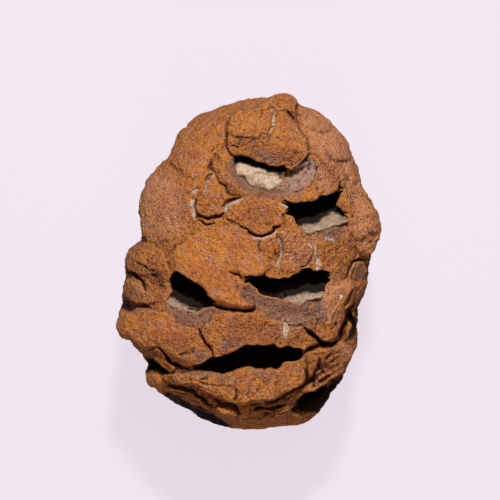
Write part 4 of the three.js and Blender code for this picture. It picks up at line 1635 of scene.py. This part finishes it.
@dataclass(frozen=True)
class SedimentFinish:
    """Pale, sandy sediment with dark and light grains."""

    sand: Triple = (0.62, 0.455, 0.325)
    # A darker sand, for mottling and for painted shade.
    shade: Triple = (0.28, 0.188, 0.118)
    dark: Triple = (0.07, 0.045, 0.032)
    # Near black, for painted shadow.
    shade_black: Triple = (0.012, 0.007, 0.005)

    def material(self) -> bpy.types.Material:
        """Build the material.

        Returns:
            The material.
        """
        book = NodeBook("sediment")
        place = book.place()
        patch = book.noise(place, 1.2, 3.0, 0.55, 1.0)
        grain = book.noise(place, 0.18, 3.0, shift=4.0)
        specks = book.specks(place, 0.3, 6.0)
        shade, half_shade, painted_shade = map(book.attribute, ("grain_tone", "half_shade", "painted_shade"))
        coarse = book.noise(place, 0.42, 3.0, 0.65, 9.0)
        # Mottling towards the darker sand, with painted shade for fillings that lie far down in part shade.
        mottle_and_half_shade = patch.step(0.42, 0.66) * 0.3 + coarse.step(0.46, 0.64) * 0.6 + half_shade
        tone = book.blend(mottle_and_half_shade.least(1.0), self.sand, self.shade)
        tone = book.blend(specks.step(0.34, 0.2) * grain.step(0.44, 0.52) * 0.9, tone, self.dark)
        tone = book.blend(grain.step(0.52, 0.62) * (0.7 - half_shade * 0.4), tone, self.sand)
        tone = book.blend(shade.step(0.6, 0.8) * 0.85, tone, self.dark)
        # Painted shadow where the sediment runs in under the rock.
        shadow = painted_shade * 1.35 + (coarse - 0.5) * painted_shade.step(0.0, 0.3)
        tone = book.blend(shadow.most(0.0).least(1.0), tone, self.shade_black)
        height = grain * 0.7 + patch * 0.3
        values = {"Base Color": tone, "Roughness": 0.95, "Specular IOR Level": 0.2}
        return book.finish(values, height, 0.3, 0.9)


# The cone


@dataclass
class FossilCone:
    """The cone itself: one body of fused scales.

    Attributes:
        egg: The egg under the scales.
        most_triangles: How many triangles the finished mesh may have.
        back_share: What share of them its back and flanks may have.
    """

    egg: Egg = field(default_factory=Egg)
    most_triangles: int = 190_000
    back_share: float = 0.3

    def __post_init__(self) -> None:
        """Lay out the block that the cone is carved from."""
        self.block = Block()
        self.plan = Plan(self.block.x, self.block.y, self.egg)
        self.relief = FaceRelief(self.plan)
        self.pockets: dict[str, Pocket] = {}
        self.scales = [(scale, scale.axes(self.egg)) for scale in all_scales()]

    def egg_distance(self) -> tuple[Array, Array]:
        """Fill the block with the distance to the egg.

        Returns:
            The distances, and how squarely the surface faces up at each sample.
        """
        block = self.block
        x, y, z = block.points((slice(None),) * 3)
        size = self.egg.measure(x, np.broadcast_to(y, (1, len(block.y), 1)), z).astype(np.float32)
        slopes = np.gradient(size, block.step)
        steepness = np.sqrt(sum(slope * slope for slope in slopes)) + 1e-6
        return size / steepness, slopes[2] / steepness

    def spiral_relief(self) -> Array:
        """Raise the spiral's scales in the block.

        Returns:
            How far the surface stands out at each sample.
        """
        block = self.block
        relief = np.full(block.distance.shape, -0.45, dtype=np.float32)
        rng = np.random.default_rng(5)
        for scale, (middle, across, along, out) in self.scales:
            swell, wide, tall = rng.uniform(0.85, 1.15, 3)
            part = block.box(middle - 9.0, middle + 9.0)
            u, v, w = (reach_along(block.points(part), middle, way) for way in (across, along, out))
            reach = np.sqrt((u / (6.5 * wide)) ** 2 + (v / (4.5 * tall)) ** 2)
            dome = 0.85 * swell * (1.0 - reach**2.4)
            if scale.kind is ScaleKind.OPEN:
                dome -= 0.75 * np.exp(-((u / (scale.half_width + 0.6)) ** 2) - ((v + 0.3) / 1.5) ** 2)
                dome += 0.3 * np.exp(-((u / 3.6) ** 2) - ((v - 2.1) / 0.9) ** 2)
            else:
                dome -= 0.25 * np.exp(-((u / 2.6) ** 2) - (v / 0.8) ** 2)
            dome = np.where(w > -6.0, dome, -9.0)
            relief[part] = np.maximum(relief[part], dome)
        return relief

    def side_lobes(self) -> tuple[Array, Array]:
        """Follow the lobes of the outline round the two flanks.

        Returns:
            How far the lobes stand out at each sample, and how close to a flank each sample is.
        """
        block, egg = self.block, self.egg
        middle, _, right, left = egg.section()
        heights = egg.stations()
        centre = np.interp(block.y, heights, middle)
        x = block.x[:, None, None] - centre[None, :, None]
        angle = np.arctan2(x, block.z[None, None, :] - egg.middle_height).astype(np.float32)
        nearness = np.exp(-(((np.abs(angle) - math.pi / 2) / egg.lobe_spread) ** 2))
        lobes = (np.interp(block.y, heights, side).astype(np.float32) for side in (right, left))
        right_lobes, left_lobes = (side[None, :, None] for side in lobes)
        return np.where(angle > 0.0, right_lobes, left_lobes) * nearness, nearness

    def roughness(self) -> Array:
        """Give the skin its lumps, creases, grit and pits.

        Returns:
            How far the skin stands out at each sample.
        """
        axes = self.block.axes
        total = 0.12 * block_noise(*axes, 2.6, 21)
        total += 0.08 * block_noise(*axes, 1.3, 22)
        total += 0.05 * np.abs(block_noise(*axes, 0.8, 23))
        total += 0.04 * np.abs(block_noise(*axes, 0.4, 24))
        total += 0.05 * block_noise(*axes, 0.26, 25)
        total -= 0.12 * ease(1.7, 2.5, block_noise(*axes, 0.5, 26))
        return total - 0.15

    def flank_cracks(self) -> Array:
        """Craze the flanks, the ends and the back with cracks.

        Returns:
            The depth of the cracks at each sample.
        """
        axes = self.block.axes
        first = block_noise(*axes, 1.9, 31) + 0.35 * block_noise(*axes, 0.8, 32)
        second = block_noise(*axes, 3.4, 33)
        return 0.3 * (ease(0.12, 0.02, np.abs(first)) * ease(0.2, 1.2, second))

    def scale_pocket(self, scale: Scale, axes: Sequence[Array]) -> Pocket:
        """Shape the pocket of one scale's socket.

        Args:
            scale: The scale.
            axes: Its frame.

        Returns:
            The pocket.
        """
        middle, across, along, out = axes
        part = self.block.box(middle - 5.5, middle + 5.5)
        u, v, w = (reach_along(self.block.points(part), middle, way) for way in (across, along, out))
        ragged = 0.1 * np.sin(2.1 * u + scale.number) + 0.06 * np.sin(4.7 * u + 2.0 * scale.number)
        walls = []
        for share in (0.0, 0.25, 0.5):
            rise = (v - share * np.maximum(-w, 0.0) + ragged) / scale.half_height
            walls.append((np.sqrt((u / scale.half_width) ** 2 + rise**2) - 1.0) * 1.1)
        floor = np.clip(2.0 + 0.7 * v, 0.5, 3.2)
        return Pocket(part, np.minimum.reduce(walls), -w, floor, 0.2)

    def knobs(self, skin: Array) -> None:
        """Swell the knobs out of the block.

        Args:
            skin: How far the skin stands out at each sample.
        """
        for middle, half in KNOBS:
            centre, size = np.array(middle), np.array(half)
            part = self.block.box(centre - 1.5 * size, centre + 1.5 * size)
            away = [(axis - place) / side for axis, place, side in zip(self.block.points(part), middle, half)]
            swell = (np.sqrt(sum(share * share for share in away)) - 1.0) * min(half) - skin[part]
            self.block.distance[part] = -soft_max(-self.block.distance[part], -swell, 0.5)

    def carve(self) -> None:
        """Carve the whole cone in the block."""
        distance, facing = self.egg_distance()
        face = ease(0.12, 0.42, facing) * (self.block.z[None, None, :] > self.egg.middle_height)
        lobes, nearness = self.side_lobes()
        spiral = self.spiral_relief()
        flank = spiral * (1.0 - 0.7 * nearness) + lobes - self.flank_cracks()
        height = self.relief.build()[:, :, None]
        relief = flank * (1.0 - face) + height * face
        calm = np.maximum(self.relief.coats["smooth"], 0.55 * self.relief.coats["film"])[:, :, None] * face
        skin = self.roughness() * (1.0 - 0.6 * calm)
        self.block.distance = distance - relief - skin + 0.35
        self.knobs(skin)
        for socket in FACE_SOCKETS:
            self.pockets[socket.name] = socket.pocket(self.block, self.plan, self.egg)
        for scale, axes in self.scales:
            if scale.kind is ScaleKind.OPEN:
                self.pockets[f"scale_{scale.number}"] = self.scale_pocket(scale, axes)
        for pocket in self.pockets.values():
            rock = self.block.distance[pocket.part]
            self.block.distance[pocket.part] = soft_max(rock, -pocket.hollow(), pocket.rounding)
        ground = -self.block.z[None, None, :]
        self.block.distance = soft_max(self.block.distance, ground, 0.1)

    def coats(self, mesh: bpy.types.Mesh) -> None:
        """Store the coats, how hollow it lies, and painted shade for its recesses and shadowed hollows, at
        the mesh's points.

        Args:
            mesh: The cone's mesh.
        """
        points, normals = vertex_arrays(mesh)
        x, y, z = points.T
        above = ease(-0.1, 0.25, normals[:, 2]) * (z > self.egg.middle_height)
        around = np.zeros(len(points))
        for scale, (middle, across, along, _) in self.scales:
            if scale.kind is ScaleKind.OPEN:
                away = points - middle
                near = ((away @ across) / (scale.half_width + 0.9)) ** 2 + ((away @ along + 0.5) / 2.2) ** 2
                near = near + (np.linalg.norm(away, axis=1) > 5.5) * 9.0
                around = np.maximum(around, ease(1.3, 0.6, near))
        for name, sheet in self.relief.coats.items():
            values = self.plan.sample(sheet, x, y) * above
            if name == "film":
                values = np.maximum(values, around)
            store(mesh, name, values)
        store(mesh, "hollow", hollowness(mesh, 6) + 0.5 * hollowness(mesh, 2))
        # Painted shadow over the hollows of the face that lie in shadow, its edge swayed and faded out down
        # the flanks.
        sway = 0.4 * np.sin(1.1 * z) + 0.2 * np.sin(2.9 * z + 1.0)
        painted_shadow = self.plan.sample(self.relief.coats["painted_shadow"], x + sway * (z < 17.0), y)
        wave = 1.2 * np.sin(0.9 * x) + 0.6 * np.sin(2.3 * x + 1.0)
        painted_shadow *= ease(-5.0, 2.5, z - self.egg.middle_height + wave)
        # Painted shade that blackens the rock the further it lies below the egg, as in the sockets, joined
        # with the painted shadow.
        store(mesh, "painted_shade", np.maximum(painted_shadow, ease(0.9, 2.3, -13.0 * self.egg.measure(x, y, z))))

    def thin(self, piece: bpy.types.Object) -> None:
        """Thin out the cone's mesh, first on its back and flanks and then all over.

        Args:
            piece: The cone.
        """
        points, normals = vertex_arrays(piece.data)
        back = (points[:, 2] < self.egg.middle_height + 0.5) | (normals[:, 2] < -0.3)
        group = piece.vertex_groups.new(name="back")
        group.add(np.flatnonzero(back).tolist(), 1.0, "REPLACE")
        whole = 2.0 * len(piece.data.polygons)
        hidden = whole * back.mean()
        kept = min(hidden, self.back_share * self.most_triangles)
        first = piece.modifiers.new("thin_back", "DECIMATE")
        first.vertex_group = group.name
        first.vertex_group_factor = 1.0
        first.ratio = (whole - hidden + kept) / whole
        second = piece.modifiers.new("thin", "DECIMATE")
        second.ratio = min(1.0, self.most_triangles / (whole - hidden + kept))
        applied(piece)
        piece.vertex_groups.clear()

    def build(self, finish: IronstoneFinish) -> bpy.types.Object:
        """Carve, mesh and dress the cone.

        Args:
            finish: The stone's finish.

        Returns:
            The finished piece.
        """
        self.carve()
        points, faces = mesh_of_field(self.block.distance, self.block.low, self.block.step)
        points, faces = keep_largest(points, faces)
        piece = object_of_mesh("ironstone_cone", points, faces)
        LOG.info("cone: %d faces before thinning", len(faces))
        self.thin(piece)
        piece.data.shade_smooth()
        self.coats(piece.data)
        piece.data.materials.append(finish.material())
        return piece


# The sediment


@dataclass(frozen=True)
class Filling:
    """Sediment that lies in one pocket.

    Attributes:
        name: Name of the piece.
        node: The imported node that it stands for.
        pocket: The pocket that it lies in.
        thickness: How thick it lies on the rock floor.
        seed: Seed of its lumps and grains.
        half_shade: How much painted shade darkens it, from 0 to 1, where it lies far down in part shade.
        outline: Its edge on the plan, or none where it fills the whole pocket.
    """

    name: str
    node: str
    pocket: str
    thickness: float
    seed: int
    half_shade: float = 0.3
    outline: Outline = ()


FILLINGS = (
    Filling(
        "upper_socket_sediment", "sediment_upper_socket", "upper", 0.75, 61, 0.0,
        ((-1.8, 11), (-1.6, 11.7), (-0.9, 12), (0.4, 11.8), (1.6, 11.5), (2.8, 11.2), (3.8, 10.8),
         (4.2, 10.2), (4.1, 9.7), (3.2, 9.3), (2.4, 9), (1.4, 9.2), (0.6, 9.1), (-0.1, 9.8), (-0.8, 9.9),
         (-1.3, 10.5)),
    ),
    Filling(
        "right_socket_sediment", "sediment_right_socket", "right", 0.75, 62, 0.5,
        ((5.2, 4.2), (6.8, 2.9), (7.7, 2.4), (8.9, 2.1), (9.4, 3.1), (10, 3.5), (11, 3.8), (12, 3.8),
         (13, 4.1), (12.2, 5), (11.2, 5.4), (10.4, 6.2), (9.4, 5.7), (8.5, 4.9), (7.3, 4.5), (6, 4.6)),
    ),
    Filling(
        "left_socket_sediment", "sediment_left_socket", "left", 1.0, 63, 0.62,
        ((-10.4, -4.4), (-9.6, -4), (-8.7, -4.6), (-7.4, -5.2), (-6.3, -5.6), (-5.4, -6.1), (-5.4, -6.7),
         (-7.1, -7), (-8.2, -6.8), (-9.5, -6.5), (-10.4, -5.6)),
    ),
    Filling(
        "middle_socket_sediment", "sediment_middle_socket", "middle", 0.85, 64, 0.5,
        ((3.9, -4.5), (5, -4.1), (5.8, -3.7), (7, -3.5), (8, -3.5), (9.3, -3.6), (9.8, -4.6), (8.2, -5),
         (7.2, -5.2), (6.4, -5.9), (5.4, -5.7), (4.2, -5.3)),
    ),
    Filling("seam_sediment", "sediment_seam", "seam", 0.75, 65, 0.0),
    Filling("right_flank_sediment", "sediment_right_flank", "scale_14", 0.9, 66),
    Filling("left_flank_sediment", "sediment_left_flank", "scale_23", 0.7, 67),
    Filling("underside_sediment", "sediment_underside", "scale_30", 0.9, 68),
)


class GrainField:
    """A geometry node group that strews loose grains over a mesh."""

    def __init__(self, material: bpy.types.Material) -> None:
        """Build the group.

        Args:
            material: Material of the mesh and its grains.
        """
        self.group = bpy.data.node_groups.new("loose_grains", "GeometryNodeTree")
        self.material = material
        self.sockets: dict[str, bpy.types.NodeTreeInterfaceSocket] = {}
        self.group.interface.new_socket("Geometry", in_out="INPUT", socket_type="NodeSocketGeometry")
        self.group.interface.new_socket("Geometry", in_out="OUTPUT", socket_type="NodeSocketGeometry")
        inputs = {"Density": "Float", "Grain Size": "Float", "Seed": "Int", "Material": "Material"}
        for name, kind in inputs.items():
            socket = self.group.interface.new_socket(name, in_out="INPUT", socket_type=f"NodeSocket{kind}")
            self.sockets[name] = socket
        self.wire()

    def add(self, kind: str, settings: Values, sockets: Values) -> bpy.types.NodeOutputs:
        """Add a node with its settings, input values and links, and give its outputs."""
        return new_node(self.group, kind, settings, sockets).outputs

    def wire(self) -> None:
        """Lay out the nodes."""
        given = self.add("NodeGroupInput", {}, {})
        seed = given["Seed"]
        spots = {"Mesh": given["Geometry"], "Density": given["Density"], "Seed": seed}
        points = self.add("GeometryNodeDistributePointsOnFaces", {"distribute_method": "RANDOM"}, spots)
        pebble = self.add("GeometryNodeMeshIcoSphere", {}, {"Radius": given["Grain Size"], "Subdivisions": 1})
        size = self.random("FLOAT_VECTOR", (0.45, 0.45, 0.35), (1.2, 1.0, 0.9), seed, 1)
        turn = self.random("FLOAT_VECTOR", (0.0, 0.0, 0.0), (math.tau, math.tau, math.tau), seed, 2)
        spread = {"Points": points["Points"], "Instance": pebble["Mesh"], "Scale": size, "Rotation": turn}
        grains = self.add("GeometryNodeInstanceOnPoints", {}, spread)["Instances"]
        tone = self.random("FLOAT", 0.0, 1.0, seed, 3)
        toned = self.add(
            "GeometryNodeStoreNamedAttribute",
            {"data_type": "FLOAT", "domain": "INSTANCE"},
            {"Geometry": grains, "Name": "grain_tone", "Value": tone},
        )
        joined = new_node(self.group, "GeometryNodeJoinGeometry", {}, {})
        for part in (toned["Geometry"], given["Geometry"]):
            self.group.links.new(part, joined.inputs[0])
        whole = self.add("GeometryNodeRealizeInstances", {}, {0: joined.outputs[0]})[0]
        dress = {"Geometry": whole, "Material": given["Material"]}
        self.add("NodeGroupOutput", {}, {0: self.add("GeometryNodeSetMaterial", {}, dress)[0]})

    def random(
        self, kind: str, low: Any, high: Any, seed: bpy.types.NodeSocket, step: int
    ) -> bpy.types.NodeSocket:
        """Add a random value.

        Args:
            kind: Its data type.
            low: Its lower limit.
            high: Its upper limit.
            seed: The group's seed.
            step: What is added to the seed, so that each random value differs.

        Returns:
            The value.
        """
        moved = self.add("FunctionNodeIntegerMath", {"operation": "ADD"}, {0: seed, 1: step})[0]
        node = new_node(self.group, "FunctionNodeRandomValue", {"data_type": kind}, {})
        ends = [socket for socket in node.inputs if socket.name in ("Min", "Max") and socket.enabled]
        for socket, value in zip(ends, (low, high)):
            socket.default_value = value
        self.group.links.new(moved, node.inputs["Seed"])
        return next(socket for socket in node.outputs if socket.enabled)

    def strew(self, target: bpy.types.Object, density: float, size: float, seed: int) -> None:
        """Strew grains over an object and bake them into its mesh.

        Args:
            target: The object.
            density: Grains for each square millimetre.
            size: Radius of a grain, in millimetres.
            seed: Seed of their places, sizes and tones.
        """
        modifier = target.modifiers.new("grains", "NODES")
        modifier.node_group = self.group
        values = {"Density": density / METRES**2, "Grain Size": size * METRES, "Seed": seed}
        for name, value in {**values, "Material": self.material}.items():
            modifier[self.sockets[name].identifier] = value
        applied(target)


@dataclass
class Sediment:
    """The pale sediment in the pockets.

    Attributes:
        cone: The cone whose pockets it lies in.
        finish: Its finish.
        grain_density: Loose grains for each square millimetre.
        grain_radius: Radius of a loose grain.
    """

    cone: FossilCone
    finish: SedimentFinish = field(default_factory=SedimentFinish)
    grain_density: float = 7.0
    grain_radius: float = 0.065

    def surface(self, filling: Filling) -> Array:
        """Shape one filling.

        Args:
            filling: The filling.

        Returns:
            The distance to its surface over the part of the block that its pocket covers.
        """
        cone, block = self.cone, self.cone.block
        pocket = cone.pockets[filling.pocket]
        axes = [axis[cut] for axis, cut in zip(block.axes, pocket.part)]
        lumps = 0.035 * block_noise(*axes, 0.9, filling.seed)
        lumps += 0.03 * block_noise(*axes, 0.4, filling.seed + 20)
        thickness = filling.thickness
        rim = 0.4
        if filling.pocket in {socket.name for socket in FACE_SOCKETS}:
            rim = rim - cone.plan.height[pocket.part[:2]][:, :, None]
        if filling.outline:
            sheet = cone.plan.signed(filling.outline)
            further = np.roll(sheet, round(1.0 / block.step), axis=1)
            edge = np.minimum(sheet, further)[pocket.part[:2]][:, :, None]
            thickness = (thickness + 0.3) * ease(0.2, -0.9, edge + 3.5 * lumps) - 0.3
        top = soft_max(pocket.floor - thickness, rim, 0.15) + lumps
        bed = soft_max(pocket.depth - pocket.floor - 0.2, top - pocket.depth, 0.1)
        return soft_max(pocket.wall - 0.15, bed, 0.1)

    def darkness(self, filling: Filling, points: Array) -> Array:
        """Say how much painted shadow darkens the sediment where it runs in under the rock, beyond its
        outline.

        Args:
            filling: The filling.
            points: Its mesh's points.

        Returns:
            The darkness at each point, from 0 to 1.
        """
        if not filling.outline:
            return np.zeros(len(points))
        plan = self.cone.plan
        sheet = plan.signed(filling.outline)
        x, y, _ = points.T
        here, behind, ahead = (plan.sample(sheet, x, y + move) for move in (0.0, -0.4, 0.4))
        return ease(-0.45, 0.15, here) * ease(-0.1, 0.3, ahead - behind)

    def build(self) -> list[tuple[bpy.types.Object, str]]:
        """Build every filling, with its grains.

        Returns:
            The finished pieces, each with the name of the node that it stands for.
        """
        grains = GrainField(self.finish.material())
        block = self.cone.block
        pieces = []
        for filling in FILLINGS:
            part = self.cone.pockets[filling.pocket].part
            low = [axis[cut.start] for axis, cut in zip(block.axes, part)]
            points, faces = mesh_of_field(self.surface(filling), low, block.step)
            piece = object_of_mesh(filling.name, *keep_largest(points, faces))
            store(piece.data, "grain_tone", np.zeros(len(piece.data.vertices)))
            grains.strew(piece, self.grain_density, self.grain_radius, filling.seed)
            # Painted shade for a filling that lies far down in part shade.
            store(piece.data, "half_shade", np.full(len(piece.data.vertices), filling.half_shade))
            # Painted shadow of the rock over the sediment that runs in under it.
            store(piece.data, "painted_shade", self.darkness(filling, vertex_arrays(piece.data)[0]))
            piece.data.shade_smooth()
            pieces.append((piece, filling.node))
        return pieces


@dataclass(frozen=True)
class Studio:
    """The floor, the lights and the camera.

    Attributes:
        view_width: Width of what the camera sees at the cone's middle height.
        view_centre: The point that it looks at.
        camera_distance: How far above that point it is.
        sensor: Width of the camera's sensor.
        floor_side: Length of the floor's side.
        floor_gap: How far the floor lies below the cone.
    """

    view_width: float = 60.0
    view_centre: Triple = (*EYE_ABOVE, MIDDLE_HEIGHT)
    camera_distance: float = EYE_HEIGHT
    sensor: float = 36.0
    floor_side: float = 1200.0
    floor_gap: float = 0.02

    def floor(self) -> None:
        """Lay the pale floor."""
        signs = np.array([(-0.5, -0.5, 0.0), (0.5, -0.5, 0.0), (0.5, 0.5, 0.0), (-0.5, 0.5, 0.0)])
        corners = signs * self.floor_side - (0.0, 0.0, self.floor_gap)
        floor = object_of_mesh("floor", corners, np.array([[0, 1, 2, 3]]))
        book = NodeBook("pale_floor")
        glow = {"Emission Color": (0.94, 0.84, 0.93, 1.0), "Emission Strength": 0.8}
        values = {"Base Color": (0.1, 0.09, 0.098, 1.0), "Roughness": 0.9, **glow}
        shader = book.add("ShaderNodeBsdfPrincipled", {}, values)
        book.add("ShaderNodeOutputMaterial", {}, {"Surface": shader})
        floor.data.materials.append(book.material)
        floor.visible_diffuse = False

    def lamp(self, name: str, place: Triple, size: float, power: float, tint: Triple) -> None:
        """Hang a square soft light that points at the cone.

        Args:
            name: Its name.
            place: Its place in millimetres.
            size: The length of its side in millimetres.
            power: Its power in watts.
            tint: Its colour.
        """
        light = bpy.data.lights.new(name, "AREA")
        light.size = size * METRES
        light.energy = power
        light.color = tint
        lamp = bpy.data.objects.new(name, light)
        lamp.location = Vector(place) * METRES
        target = Vector(self.view_centre) * METRES
        lamp.rotation_euler = (target - lamp.location).to_track_quat("-Z", "Y").to_euler()
        bpy.context.scene.collection.objects.link(lamp)

    def lights(self) -> None:
        """Hang the lights and set the faint light from all round."""
        self.lamp("key", (22.0, 245.0, 375.0), 45.0, 2.25, (1.0, 0.97, 0.95))
        self.lamp("fill", (40.0, 150.0, 450.0), 420.0, 0.45, (1.0, 0.97, 0.97))
        self.lamp("back", (-20.0, -400.0, 130.0), 200.0, 0.62, (1.0, 0.76, 0.66))
        world = bpy.data.worlds.new("soft_room")
        world.use_nodes = True
        background = world.node_tree.nodes["Background"].inputs
        background["Color"].default_value = (1.0, 0.95, 0.93, 1.0)
        background["Strength"].default_value = 0.05
        bpy.context.scene.world = world
        bpy.context.scene.view_settings.view_transform = "Standard"

    def camera(self) -> None:
        """Set the camera straight above the cone."""
        data = bpy.data.cameras.new("camera")
        data.sensor_width = self.sensor
        data.lens = self.sensor * self.camera_distance / self.view_width
        data.clip_start = 0.01
        camera = bpy.data.objects.new("camera", data)
        camera.location = (Vector(self.view_centre) + Vector((0.0, 0.0, self.camera_distance))) * METRES
        bpy.context.scene.collection.objects.link(camera)
        bpy.context.scene.camera = camera

    def build(self) -> None:
        """Set the whole stage."""
        self.floor()
        self.lights()
        self.camera()


def report(piece: bpy.types.Object, slot: str, *nodes: str) -> None:
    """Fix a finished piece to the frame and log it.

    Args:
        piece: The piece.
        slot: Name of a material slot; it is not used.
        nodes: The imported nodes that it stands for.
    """
    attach(piece, BODY)
    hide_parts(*nodes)
    LOG.info("%s: %d faces", piece.name, len(piece.data.polygons))


def main() -> None:
    """Build the fossil and its stage."""
    logging.basicConfig(level=logging.INFO, format="%(name)s: %(message)s")
    Studio().build()
    cone = FossilCone()
    report(cone.build(IronstoneFinish()), "ironstone", "fossil_cone")
    for piece, node in Sediment(cone).build():
        report(piece, "sediment", node)


if __name__ == "__main__":
    main()
